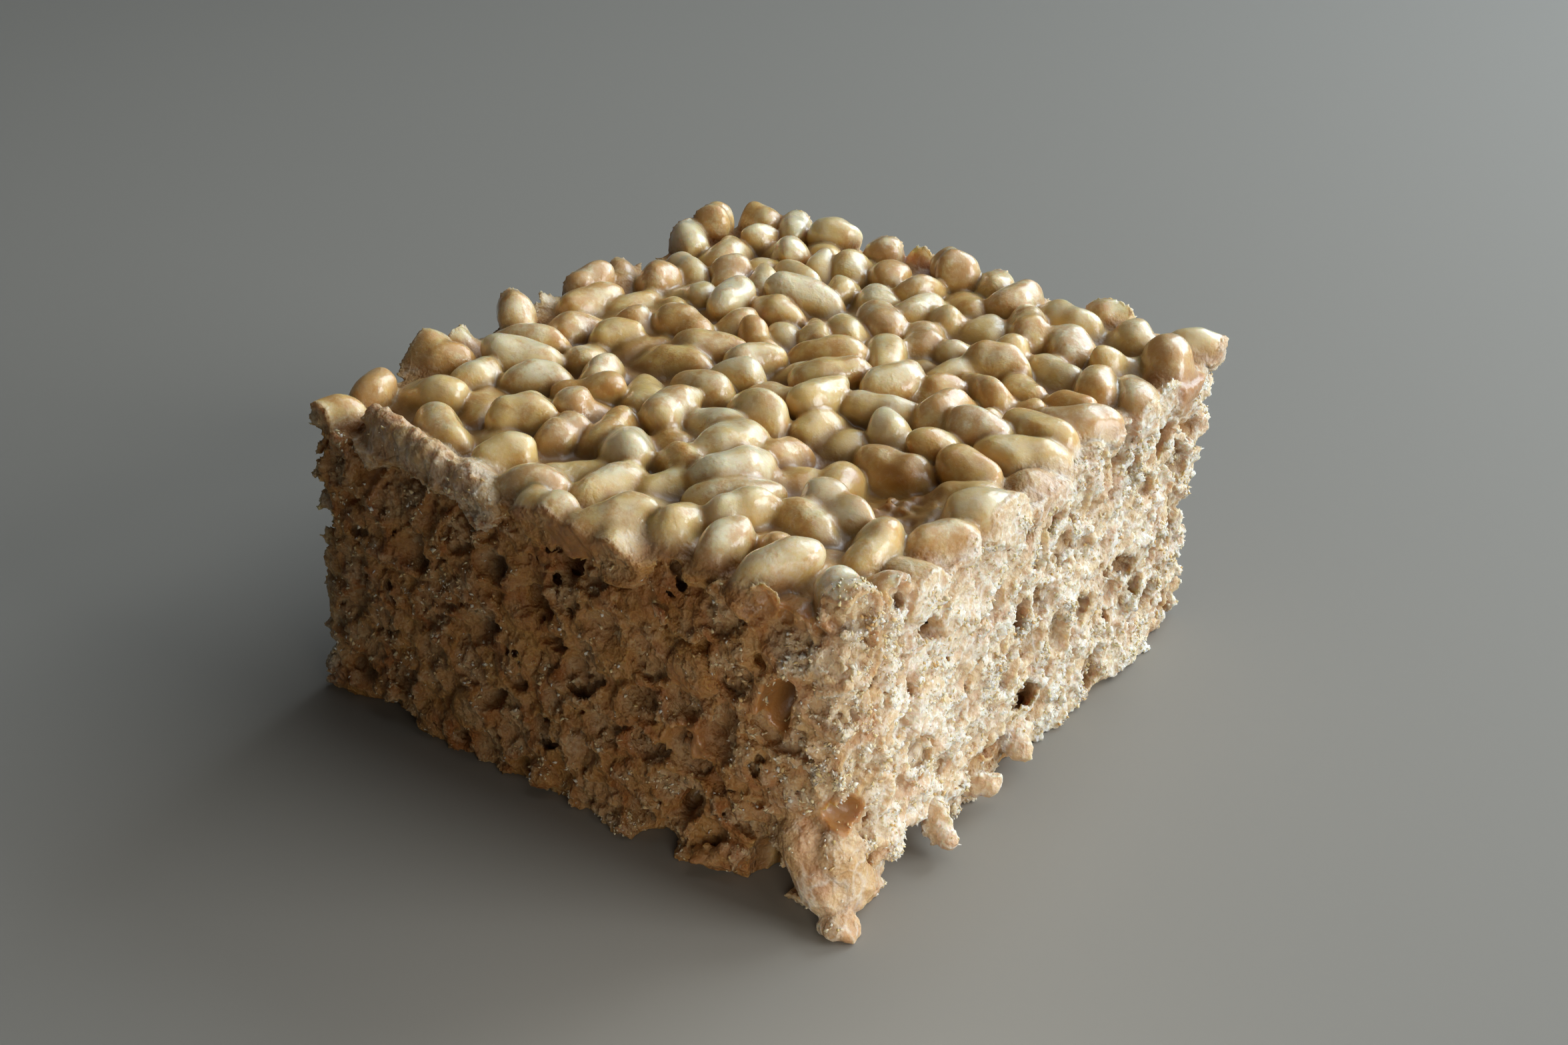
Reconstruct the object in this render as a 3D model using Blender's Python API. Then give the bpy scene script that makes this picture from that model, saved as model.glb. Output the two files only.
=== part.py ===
"""A square of crisp rice treat: puffed kernels pressed into a slab with melted marshmallow, cut from a pan.

Whole kernels show on top, and the knife has opened the four sides onto crumb, cut kernels and small hollows.
Metres, +Z up. The origin is the middle of the base. -Y and +X are the two cut sides seen in the photograph,
which meet at the near corner, where a foot of crumb stands apart from the rest.
"""

import math

import bmesh
import bpy
import numpy as np
from mathutils import Matrix, Vector, kdtree

MM = 0.001

# The slab between its cuts.
WIDTH = 55.7 * MM
DEPTH = 61.0 * MM
TOP_NEAR = 28.0 * MM  # height of the kernels' backs at the near corner
TOP_FAR = 29.4 * MM  # and at the corner across from it

# How far each cut side stands in from its widest line, at the base and at the top.
IN_LEFT = (0.0 * MM, 1.3 * MM)
IN_RIGHT = (0.5 * MM, 0.2 * MM)
IN_FRONT = (0.2 * MM, 0.2 * MM)
IN_BACK = (2.6 * MM, 0.0 * MM)
IN_CORNER = 0.9 * MM

# The kernels that poke out low down reach past two of the cuts, so the slab stands off the middle of its box.
SLAB_AT = (-1.31 * MM, 0.87 * MM)

# One puffed kernel.
KERNEL_LENGTH = (5.8 * MM, 8.0 * MM)
KERNEL_RADIUS = (1.6 * MM, 2.1 * MM)
KERNEL_FLATNESS = 0.94
KERNEL_FACETS = (6, 4)  # segments and rings
CUT_KERNEL_FACETS = (5, 3)
FACET_SWELL = 1.06  # so that the flat facets take as much room as the round kernel

# How the kernels between the seen ones are packed.
SEED = 41
CELL = 4.25 * MM  # one kernel starts in each cell of a lattice
MARGIN = 4 * MM  # kernels are packed this far past the cuts
LIE_FLAT = 0.55  # pressing turns the kernels down
PACK_ROUNDS = 60
PUSH = 0.42  # share of an overlap undone in one round
TOP_UNEVEN = 1.2 * MM

# The sticky crumb that the kernels sit in.
CORE_CUTS = 10
CORE_SIDE_INSET = 0.35 * MM
CORE_TOP_INSET = 2.3 * MM
SIDE_RELIEF = 1.0 * MM
SHOWS = 1.25 * MM  # a kernel that stands out less than this from the crumb is left out
MOST_SIDE_KERNELS = 28

# A brown hollow in the top: its place and how far it dips.
HOLLOW_AT = (16.5 * MM, -9.5 * MM)
HOLLOW_RADIUS = 5.0 * MM
HOLLOW_DEPTH = 2.4 * MM

# The kernels that stand out in the photograph, in millimetres and degrees:
# x, y and z of the middle, heading, tilt, length, width.
TOP_KERNELS = (
    (19, -27, 26, 55, 28, 8, 3.5),
    (25.5, -27.5, 26, -30, 0, 7, 4),
    (22.5, -20, 26, -80, 0, 7.5, 3.5),
    (26, -16, 26, 60, 0, 6.5, 3.3),
    (26.5, -20.5, 24.8, 5, 0, 5.6, 3.3),
    (14, -26, 26, 90, 0, 6, 3.3),
    (10, -19.5, 26, 50, 0, 8, 3.5),
    (16, -19.5, 25.2, -15, 0, 7.5, 4),
    (17, -16.5, 26, -15, 0, 7.5, 3.5),
    (11, -13.5, 25, 55, 0, 5.6, 3),
    (8, -11, 25.3, 80, 0, 5.6, 3.5),
    (23.5, -7.5, 25, 15, 0, 7, 3.5),
    (21.5, -4.5, 26, -15, 0, 6.5, 3.3),
    (10.5, -5.5, 24.5, 75, 0, 5.6, 3.3),
    (0, -29.8, 26, 5, 0, 5.6, 3.5),
    (5, -28.6, 26, 50, 15, 8, 3.5),
    (9.5, -26, 26, -85, 0, 6, 3.5),
    (7, -29.6, 24.8, -75, 0, 6, 3.5),
    (4.5, -21, 25.2, 65, 0, 5.6, 3),
    (-3, -24, 25.2, 60, 0, 7, 3.3),
    (3.5, -17.5, 26, -20, 0, 5.6, 3.3),
    (-1.5, -18.5, 26, -55, 0, 5.6, 4),
    (-5, -16.5, 26, 105, 5, 8, 3),
    (-7.5, -19.5, 26, 90, 0, 6.5, 3.3),
    (1.5, -11, 26, -10, 0, 6.5, 4),
    (-8.5, -25.5, 26, 60, 0, 5.6, 4),
    (-16, -24.5, 26, -25, 0, 8, 3.5),
    (-18, -27.6, 26, -15, 0, 8, 3.3),
    (-13, -28.8, 26, -15, 0, 8, 3),
    (-7.6, -29.6, 25.6, -20, -10, 7, 3.3),
    (-24.5, -23.5, 27, -70, 0, 5.6, 3),
    (-24, -28.6, 26.4, 65, 0, 5.6, 3),
    (-20.5, -16, 26, -85, 0, 5.6, 3.3),
    (-16.5, -19, 25.2, -55, 0, 7, 3.3),
    (-13, 3.5, 26.6, -10, 0, 7, 4),
    (-20, 5.5, 26, 80, 0, 6.5, 3.3),
    (-16.5, -2, 26.5, 55, 0, 5.6, 3.3),
    (-12.5, -8.5, 26, -70, 0, 6, 3.3),
    (-20, -11, 26.6, 35, -12, 8, 3.5),
    (-16, -13, 26, 40, 0, 7, 3.3),
    (-7, -9.5, 25.6, -55, 0, 8, 3.5),
    (-9, -2.5, 25.8, 10, 0, 8, 3.5),
    (-26, -5, 27.6, -40, 0, 7, 3.3),
    (-26, 5.5, 27.3, 90, 0, 5.6, 3.3),
    (2, -3.5, 26, 20, 0, 5.6, 3.5),
    (10.5, 0, 26, 25, 0, 8, 3.5),
    (5, 9, 26.2, 125, 5, 8, 3.5),
    (-2.5, 9, 26.4, -50, 0, 7.5, 3),
    (1.5, 3, 25.4, 45, 0, 6.5, 3.3),
    (11, 10, 25.4, 80, 0, 5.6, 3.3),
    (15.5, 8, 26, -30, 0, 7.5, 3.5),
    (-2.5, 19, 26.4, -45, 0, 6, 3.5),
    (13.5, 26, 26, -10, 0, 8, 4.4),
    (20.5, 26.5, 25.4, 135, 18, 8, 4.4),
    (25.6, 22.5, 26, 130, 30, 8, 4),
    (26, 15.5, 26, 125, 8, 8, 3.5),
    (18, 16, 26, -25, 0, 7.5, 3.3),
    (17.5, 11, 26, -35, 0, 5.6, 3),
    (24.5, 7.5, 26, 30, 8, 8, 4),
    (23.5, 0, 26, 25, 0, 8, 3.5),
    (26.2, -2.5, 25, 60, 0, 5.6, 3),
    (-25.6, 24.5, 27.9, -70, 0, 5.6, 3.6),
    (-23, 28.6, 27.6, -30, 0, 5.6, 3.3),
    (-14, 28.8, 27.9, 25, 0, 5.6, 3.4),
    (0, 28.2, 27.7, -35, 0, 6.5, 4.4),
    (-8, 15, 27, 15, -15, 8, 4),
)

# Kernels that poke out of the sides low down: the one down the foot, three on the right and two in front.
LOW_KERNELS = (
    (24.6, -29.2, 4.4, 0, -58, 8.8, 3.8),
    (27.9, -17, 2.3, -35, -25, 6.5, 3.2),
    (27.6, -10.5, 2.2, 20, 10, 5.5, 3),
    (27.4, -3.5, 2.4, -50, -15, 6, 3.4),
    (16.5, -30, 2, 20, 20, 6, 3.6),
    (-1.5, -29.8, 1.7, -30, 0, 4.5, 3),
)

# Hollows that the knife opened in the two seen sides, in millimetres and degrees:
# along the side, height, half its length, half its height, depth, turn.
FRONT_HOLLOWS = (
    (20.3, 0.5, 1.7, 4.6, 5.0, 0),
    (10.2, 0.2, 1.7, 1.4, 2.2, 0),
    (-20.0, 0.2, 4.6, 1.7, 2.0, 0),
    (21.4, 17.0, 1.3, 2.4, 2.8, 8),
    (-1.7, 17.6, 1.7, 1.5, 2.6, 0),
    (-0.2, 14.5, 1.7, 0.8, 2.2, 0),
    (1.8, 22.0, 1.2, 1.9, 2.6, 0),
    (12.6, 4.4, 1.7, 0.9, 3.0, -50),
    (15.2, 8.3, 1.7, 1.1, 2.0, 10),
    (-6.4, 7.2, 1.3, 0.8, 2.0, -40),
)
RIGHT_HOLLOWS = (
    (-19.0, 0.2, 5.2, 2.9, 3.2, 0),
    (-28.4, 9.2, 1.8, 1.4, 2.4, 25),
    (-19.0, 20.6, 1.5, 0.9, 2.2, 45),
    (14.0, 11.2, 2.8, 0.8, 2.2, 35),
    (22.8, 12.0, 1.1, 2.6, 1.8, 0),
    (-6.5, 3.3, 1.5, 1.0, 2.0, 0),
)
UNSEEN_HOLLOWS = 9  # on each of the other two sides
CUTTER_FACETS = (6, 4)

TREAT_COLOUR = (0.72, 0.51, 0.27, 1.0)
TREAT_ROUGHNESS = 0.45
SHARP_ANGLE = 25


def clear_scene():
    """Removes the startup objects."""
    for obj in list(bpy.data.objects):
        bpy.data.objects.remove(obj)


def make_material():
    """Pale toasted cereal under a thin sticky glaze."""
    material = bpy.data.materials.new("toasted_cereal")
    material.use_nodes = True
    shader = material.node_tree.nodes["Principled BSDF"]
    shader.inputs["Base Color"].default_value = TREAT_COLOUR
    shader.inputs["Roughness"].default_value = TREAT_ROUGHNESS
    shader.inputs["Metallic"].default_value = 0.0
    return material


def unit(vectors):
    """Each row at length one."""
    return vectors / np.linalg.norm(vectors, axis=-1, keepdims=True)


def sides_at(x, y, z):
    """Where the four cuts stand at a point: left, right, front and back."""
    up = np.clip(z / TOP_NEAR, 0, 1)
    corner_x = IN_CORNER * np.clip(np.abs(y) / (DEPTH / 2), 0, 1) ** 8
    corner_y = IN_CORNER * np.clip(np.abs(x) / (WIDTH / 2), 0, 1) ** 8
    left = -WIDTH / 2 + IN_LEFT[0] * (1 - up) + IN_LEFT[1] * up + corner_x
    right = WIDTH / 2 - IN_RIGHT[0] * (1 - up) - IN_RIGHT[1] * up - corner_x
    front = -DEPTH / 2 + IN_FRONT[0] * (1 - up) + IN_FRONT[1] * up + corner_y
    back = DEPTH / 2 - IN_BACK[0] * (1 - up) - IN_BACK[1] * up - corner_y
    return left, right, front, back


def hollow_dip(x, y):
    """How far the brown hollow lowers the top at a point."""
    away = ((x - HOLLOW_AT[0]) ** 2 + (y - HOLLOW_AT[1]) ** 2) / HOLLOW_RADIUS**2
    return HOLLOW_DEPTH * np.exp(-away)


def top_at(x, y):
    """Height of the kernels' backs at a point."""
    share = np.clip(0.5 + (y / DEPTH - x / WIDTH) / 2, 0, 1)
    return TOP_NEAR + (TOP_FAR - TOP_NEAR) * share - hollow_dip(x, y)


def seen_kernels(rows):
    """Centres, axes, lengths and radii of the listed kernels."""
    rows = np.array(rows, float)
    heading, tilt = np.radians(rows[:, 3]), np.radians(rows[:, 4])
    level = np.cos(tilt)
    axes = np.stack([np.cos(heading) * level, np.sin(heading) * level, np.sin(tilt)], -1)
    return rows[:, :3] * MM, axes, rows[:, 5] * MM, rows[:, 6] * MM / 2


def start_positions(rng):
    """One point in each cell of a lattice over the slab and its margin, shaken about."""
    spans = np.array([WIDTH + 2 * MARGIN, DEPTH + 2 * MARGIN, TOP_NEAR])
    counts = np.maximum(np.round(spans / CELL).astype(int), 1)
    grid = np.stack(np.meshgrid(*[np.arange(n) for n in counts], indexing="ij"), -1)
    share = (grid.reshape(-1, 3) + rng.uniform(0.15, 0.85, (grid.size // 3, 3))) / counts
    low = np.array([-WIDTH / 2 - MARGIN, -DEPTH / 2 - MARGIN, 0])
    return low + share * spans


def near_pairs(centres, reach):
    """Index pairs of the kernels whose centres lie within reach."""
    tree = kdtree.KDTree(len(centres))
    for i, centre in enumerate(centres):
        tree.insert(centre, i)
    tree.balance()
    found = [(i, j) for i, c in enumerate(centres) for _, j, _ in tree.find_range(c, reach) if j > i]
    return np.array(found).T


def pack_kernels():
    """Squeezes kernels together around the seen ones, between the pan and the pressed top.

    Each is three balls on a rod. Balls that overlap push each other off, and the rods are then made straight.
    The seen kernels come first and stay in place. Returns centres, axes, lengths and radii.
    """
    rng = np.random.default_rng(SEED)
    seen = seen_kernels(TOP_KERNELS + LOW_KERNELS)
    starts = start_positions(rng)
    gap = np.linalg.norm(starts[:, None] - seen[0][None], axis=-1).min(1)
    starts = starts[gap > 0.75 * CELL]
    n = len(starts)
    centres = np.concatenate([seen[0], starts])
    axes = np.concatenate([seen[1], unit(rng.normal(size=(n, 3)) * (1, 1, LIE_FLAT))])
    lengths = np.concatenate([seen[2], rng.uniform(*KERNEL_LENGTH, n)])
    radii = np.concatenate([seen[3], rng.uniform(*KERNEL_RADIUS, n)])
    free = (np.arange(len(centres)) >= len(seen[0]))[:, None, None]
    uneven = rng.uniform(0, 1, len(centres)) ** 2 * TOP_UNEVEN
    arms = (lengths / 2 - radii)[:, None, None] * np.array([-1, 0, 1])[None, :, None]
    for turn in range(PACK_ROUNDS):
        if turn % 6 == 0:
            first, second = near_pairs(centres, KERNEL_LENGTH[1] + MM)
        balls = centres[:, None] + axes[:, None] * arms
        apart = balls[first][:, :, None] - balls[second][:, None]
        gap = np.linalg.norm(apart, axis=-1)
        deep = np.clip((radii[first] + radii[second])[:, None, None] - gap, 0, None)
        push = apart * (PUSH * deep / np.maximum(gap, MM / 100) / 2)[..., None]
        moves = np.zeros_like(balls)
        np.add.at(moves, first, push.sum(2))
        np.add.at(moves, second, -push.sum(1))
        balls += np.clip(moves, -0.5 * MM, 0.5 * MM) * free
        ceilings = top_at(balls[..., 0], balls[..., 1]) - uneven[:, None]
        pressed = np.clip(balls[..., 2], radii[:, None], ceilings - radii[:, None])
        balls[..., 2] = np.where(free[..., 0], pressed, balls[..., 2])
        centres = balls.mean(1)
        axes = unit(balls[:, 2] - balls[:, 0])
    return centres, axes, lengths, radii


def slab_mesh(name, side_inset, top_inset, cuts, relief):
    """A block between the cuts, set in from them by the given amounts, with uneven sides."""
    rng = np.random.default_rng(SEED)
    bm = bmesh.new()
    bmesh.ops.create_cube(bm, size=2)
    bmesh.ops.subdivide_edges(bm, edges=bm.edges[:], cuts=cuts, use_grid_fill=True)
    for vert in bm.verts:
        u, v, w = vert.co
        up = (w + 1) / 2
        rough = relief * rng.uniform() ** 1.5
        x, y = u * WIDTH / 2, v * DEPTH / 2
        left, right, front, back = sides_at(x, y, up * TOP_NEAR)
        inset = side_inset + rough
        x = max(left + inset, min(right - inset, x))
        y = max(front + inset, min(back - inset, y))
        vert.co = (x, y, up * (top_at(x, y) - top_inset))
    bmesh.ops.dissolve_limit(bm, angle_limit=math.radians(0.5), verts=bm.verts[:], edges=bm.edges[:])
    bmesh.ops.triangulate(bm, faces=bm.faces[:])
    mesh = bpy.data.meshes.new(name)
    bm.to_mesh(mesh)
    bm.free()
    return mesh


def ball_mesh(name, facets):
    """A ball of about radius 1 with its poles on the X axis."""
    bm = bmesh.new()
    bmesh.ops.create_uvsphere(bm, u_segments=facets[0], v_segments=facets[1], radius=FACET_SWELL)
    bmesh.ops.rotate(bm, verts=bm.verts, matrix=Matrix.Rotation(math.pi / 2, 3, "Y"))
    mesh = bpy.data.meshes.new(name)
    bm.to_mesh(mesh)
    bm.free()
    return mesh


def reach_out(packed):
    """How far each kernel reaches out of the crumb, upwards and sideways, and how far inside the cuts it sits."""
    centres, axes, lengths, radii = packed
    reach = np.abs(axes) * (lengths / 2)[:, None] + np.sqrt(1 - axes**2) * radii[:, None] * 0.9
    x, y, z = centres.T
    left, right, front, back = sides_at(x, y, z)
    room_x = np.minimum(x - left, right - x)
    room_y = np.minimum(y - front, back - y)
    upwards = z + reach[:, 2] - (top_at(x, y) - CORE_TOP_INSET)
    sideways = np.maximum(reach[:, 0] - room_x, reach[:, 1] - room_y) + CORE_SIDE_INSET
    return upwards, sideways, np.minimum(room_x, room_y)


def shown_kernels(packed):
    """Indices of the kernels that show: all of those on top, then the largest that the knife has cut."""
    upwards, sideways, inside = reach_out(packed)
    seen = np.arange(len(inside)) < len(TOP_KERNELS)
    low = (np.arange(len(inside)) < len(TOP_KERNELS) + len(LOW_KERNELS)) & ~seen
    kept = (inside > -0.4 * MM) & ~low
    on_top = seen | (kept & (upwards > SHOWS))
    cut = np.flatnonzero(kept & ~on_top & (sideways > SHOWS) & (inside < 1.2 * MM))
    lengths, radii = packed[2:]
    cut = cut[np.argsort(-lengths[cut] * radii[cut])][:MOST_SIDE_KERNELS]
    return np.flatnonzero(on_top), cut


def place_kernel(mesh, packed, index, collection):
    """One kernel object at its place. Its ends taper and it is a little flattened."""
    centre, axis, length, radius = [values[index] for values in packed]
    obj = bpy.data.objects.new("kernel", mesh)
    turn = Vector((1, 0, 0)).rotation_difference(Vector(axis)).to_matrix().to_4x4()
    size = Matrix.Diagonal((length / 2, radius, radius * KERNEL_FLATNESS, 1))
    obj.matrix_world = Matrix.Translation(centre) @ turn @ size
    collection.objects.link(obj)


def place_hollow(mesh, inward, hollow, collection):
    """One cutter on the side that faces away from the inward direction. Its middle is on the cut."""
    along, height, half_length, half_height, depth, turn = hollow
    up = Vector((0, 0, 1))
    inward = Vector(inward)
    run = inward.cross(up)
    middle = run * along * MM + up * height * MM
    left, right, front, back = sides_at(*middle)
    cuts = {(1, 0): left, (-1, 0): right, (0, 1): front, (0, -1): back}
    place = cuts[int(inward.x), int(inward.y)]
    middle = middle + Vector((abs(inward.x), abs(inward.y), 0)) * float(place)
    frame = Matrix((run, inward, up)).transposed().to_4x4()
    swing = Matrix.Rotation(math.radians(turn), 4, "Y")
    size = Matrix.Diagonal((half_length * MM, depth * MM, half_height * MM, 1))
    obj = bpy.data.objects.new("hollow", mesh)
    obj.matrix_world = Matrix.Translation(middle) @ frame @ swing @ size
    collection.objects.link(obj)


def unseen_hollows(rng, half_run):
    """Hollows for a side that the photograph doesn't show, like those that it does."""
    spots = []
    for i in range(UNSEEN_HOLLOWS):
        along = half_run / MM * (2 * (i + rng.uniform(0.2, 0.8)) / UNSEEN_HOLLOWS - 1)
        half_length = rng.uniform(1.1, 2.2)
        half_height = rng.uniform(0.8, 1.5)
        height = (rng.uniform(0.0, 0.8), rng.uniform(5, 13), rng.uniform(13, 21))[i % 3]
        spots.append((along, height, half_length, half_height, rng.uniform(1.8, 2.8), rng.uniform(-50, 50)))
    return spots


def place_hollows(collection):
    """All the cutters, side by side round the slab."""
    rng = np.random.default_rng(SEED)
    mesh = ball_mesh("hollow", CUTTER_FACETS)
    sides = (
        ((0, 1, 0), FRONT_HOLLOWS),
        ((-1, 0, 0), RIGHT_HOLLOWS),
        ((0, -1, 0), unseen_hollows(rng, WIDTH / 2)),
        ((1, 0, 0), unseen_hollows(rng, DEPTH / 2)),
    )
    for inward, hollows in sides:
        for hollow in hollows:
            place_hollow(mesh, inward, hollow, collection)


def helper_collection(name):
    """A collection whose objects only shape the treat."""
    collection = bpy.data.collections.new(name)
    bpy.context.scene.collection.children.link(collection)
    return collection


def join_all(obj, name, operation, collection):
    """Adds one Boolean over a whole collection. Its meshes are closed, and EXACT takes minutes on so many."""
    modifier = obj.modifiers.new(name, "BOOLEAN")
    modifier.operation = operation
    modifier.solver = "MANIFOLD"
    modifier.operand_type = "COLLECTION"
    modifier.collection = collection


def apply_modifiers(obj):
    """Gives the object its evaluated mesh."""
    bpy.context.view_layer.update()
    graph = bpy.context.evaluated_depsgraph_get()
    mesh = bpy.data.meshes.new_from_object(obj.evaluated_get(graph))
    obj.modifiers.clear()
    obj.data = mesh


def remove_helpers(collection):
    """Removes what shaped the treat."""
    for obj in list(collection.objects):
        bpy.data.objects.remove(obj)
    bpy.data.collections.remove(collection)


def keep_largest_body(mesh):
    """Drops the scraps that the cutting left loose."""
    bm = bmesh.new()
    bm.from_mesh(mesh)
    todo = set(bm.verts)
    bodies = []
    while todo:
        body = set()
        front = [next(iter(todo))]
        while front:
            vert = front.pop()
            if vert not in body:
                body.add(vert)
                front += [edge.other_vert(vert) for edge in vert.link_edges]
        todo -= body
        bodies.append(body)
    largest = max(bodies, key=len)
    loose = [vert for body in bodies if body is not largest for vert in body]
    bmesh.ops.delete(bm, geom=loose, context="VERTS")
    bmesh.ops.triangulate(bm, faces=bm.faces[:])
    bm.to_mesh(mesh)
    bm.free()


def make_treat(collection):
    """The crumb and its kernels, joined, cut by the knife and hollowed, with the low kernels poking out."""
    packed = pack_kernels()
    kernel = ball_mesh("kernel", KERNEL_FACETS)
    cut_kernel = ball_mesh("cut_kernel", CUT_KERNEL_FACETS)
    core = slab_mesh("treat", CORE_SIDE_INSET, CORE_TOP_INSET, CORE_CUTS, SIDE_RELIEF)
    treat = bpy.data.objects.new("treat", core)
    collection.objects.link(treat)

    kernels = helper_collection("kernels")
    on_top, cut = shown_kernels(packed)
    for i in on_top:
        place_kernel(kernel, packed, i, kernels)
    for i in cut:
        place_kernel(cut_kernel, packed, i, kernels)
    outline = helper_collection("outline")
    block = slab_mesh("outline", 0, -3 * MM, 5, 0)
    outline.objects.link(bpy.data.objects.new("outline", block))
    hollows = helper_collection("hollows")
    place_hollows(hollows)
    low_kernels = helper_collection("low_kernels")
    for i in range(len(TOP_KERNELS), len(TOP_KERNELS) + len(LOW_KERNELS)):
        place_kernel(kernel, packed, i, low_kernels)

    join_all(treat, "kernels", "UNION", kernels)
    join_all(treat, "knife", "INTERSECT", outline)
    join_all(treat, "hollows", "DIFFERENCE", hollows)
    join_all(treat, "low_kernels", "UNION", low_kernels)
    apply_modifiers(treat)
    for helpers in (kernels, outline, hollows, low_kernels):
        remove_helpers(helpers)
    keep_largest_body(treat.data)
    treat.data.transform(Matrix.Translation((*SLAB_AT, 0)))
    treat.data.materials.clear()
    treat.data.materials.append(make_material())
    treat.data.shade_smooth()
    treat.data.set_sharp_from_angle(angle=math.radians(SHARP_ANGLE))


def main():
    clear_scene()
    collection = bpy.data.collections.new("rice_treat")
    bpy.context.scene.collection.children.link(collection)
    make_treat(collection)


main()
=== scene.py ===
"""A square of crisp rice treat: its kernels, sticky glaze, opened foam and crumb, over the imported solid.

The kernels are laid out by the same rule as in the solid. A field of distances over a fine grid joins
them, cuts them with the knife and opens their foam, and its surface becomes the pieces. Lengths are in
millimetres until the meshes are made.
"""
import math

import bpy
import numpy as np
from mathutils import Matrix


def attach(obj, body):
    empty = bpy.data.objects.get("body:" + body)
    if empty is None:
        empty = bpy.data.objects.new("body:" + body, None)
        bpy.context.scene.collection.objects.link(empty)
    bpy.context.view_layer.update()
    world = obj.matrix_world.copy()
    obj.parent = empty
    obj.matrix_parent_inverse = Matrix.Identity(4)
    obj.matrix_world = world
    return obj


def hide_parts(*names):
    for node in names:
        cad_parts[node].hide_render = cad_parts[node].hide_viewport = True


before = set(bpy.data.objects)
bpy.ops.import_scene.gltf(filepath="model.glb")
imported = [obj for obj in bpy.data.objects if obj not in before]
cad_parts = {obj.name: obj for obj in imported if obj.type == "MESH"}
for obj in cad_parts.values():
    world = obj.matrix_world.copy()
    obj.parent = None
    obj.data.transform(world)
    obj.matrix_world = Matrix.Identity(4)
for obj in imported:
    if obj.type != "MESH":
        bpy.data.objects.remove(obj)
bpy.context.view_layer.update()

import openvdb
from mathutils import Matrix, Vector, kdtree

MM = 0.001  # metres in a millimetre

# The slab between its cuts, as in the solid.
WIDTH = 55.7
DEPTH = 61.0
TOP_NEAR = 28.0
TOP_FAR = 29.4
IN_LEFT = (0.0, 1.3)  # how far each cut leans in at its foot and at its top
IN_RIGHT = (0.5, 0.2)
IN_FRONT = (0.2, 0.2)
IN_BACK = (2.6, 0.0)
IN_CORNER = 0.9  # how far the upright corners are rounded in
SLAB_AT = (-1.31, 0.87)

# One puffed kernel, and how the kernels are packed.
KERNEL_LENGTH = (5.8, 8.0)
KERNEL_RADIUS = (1.6, 2.1)
SEED = 41
CELL = 4.25
MARGIN = 4
LIE_FLAT = 0.55
PACK_ROUNDS = 60
PUSH = 0.42
TOP_UNEVEN = 1.2

# The brown hollow in the top.
HOLLOW_AT = (16.5, -9.5)
HOLLOW_RADIUS = 5.0
HOLLOW_DEPTH = 2.4

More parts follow.
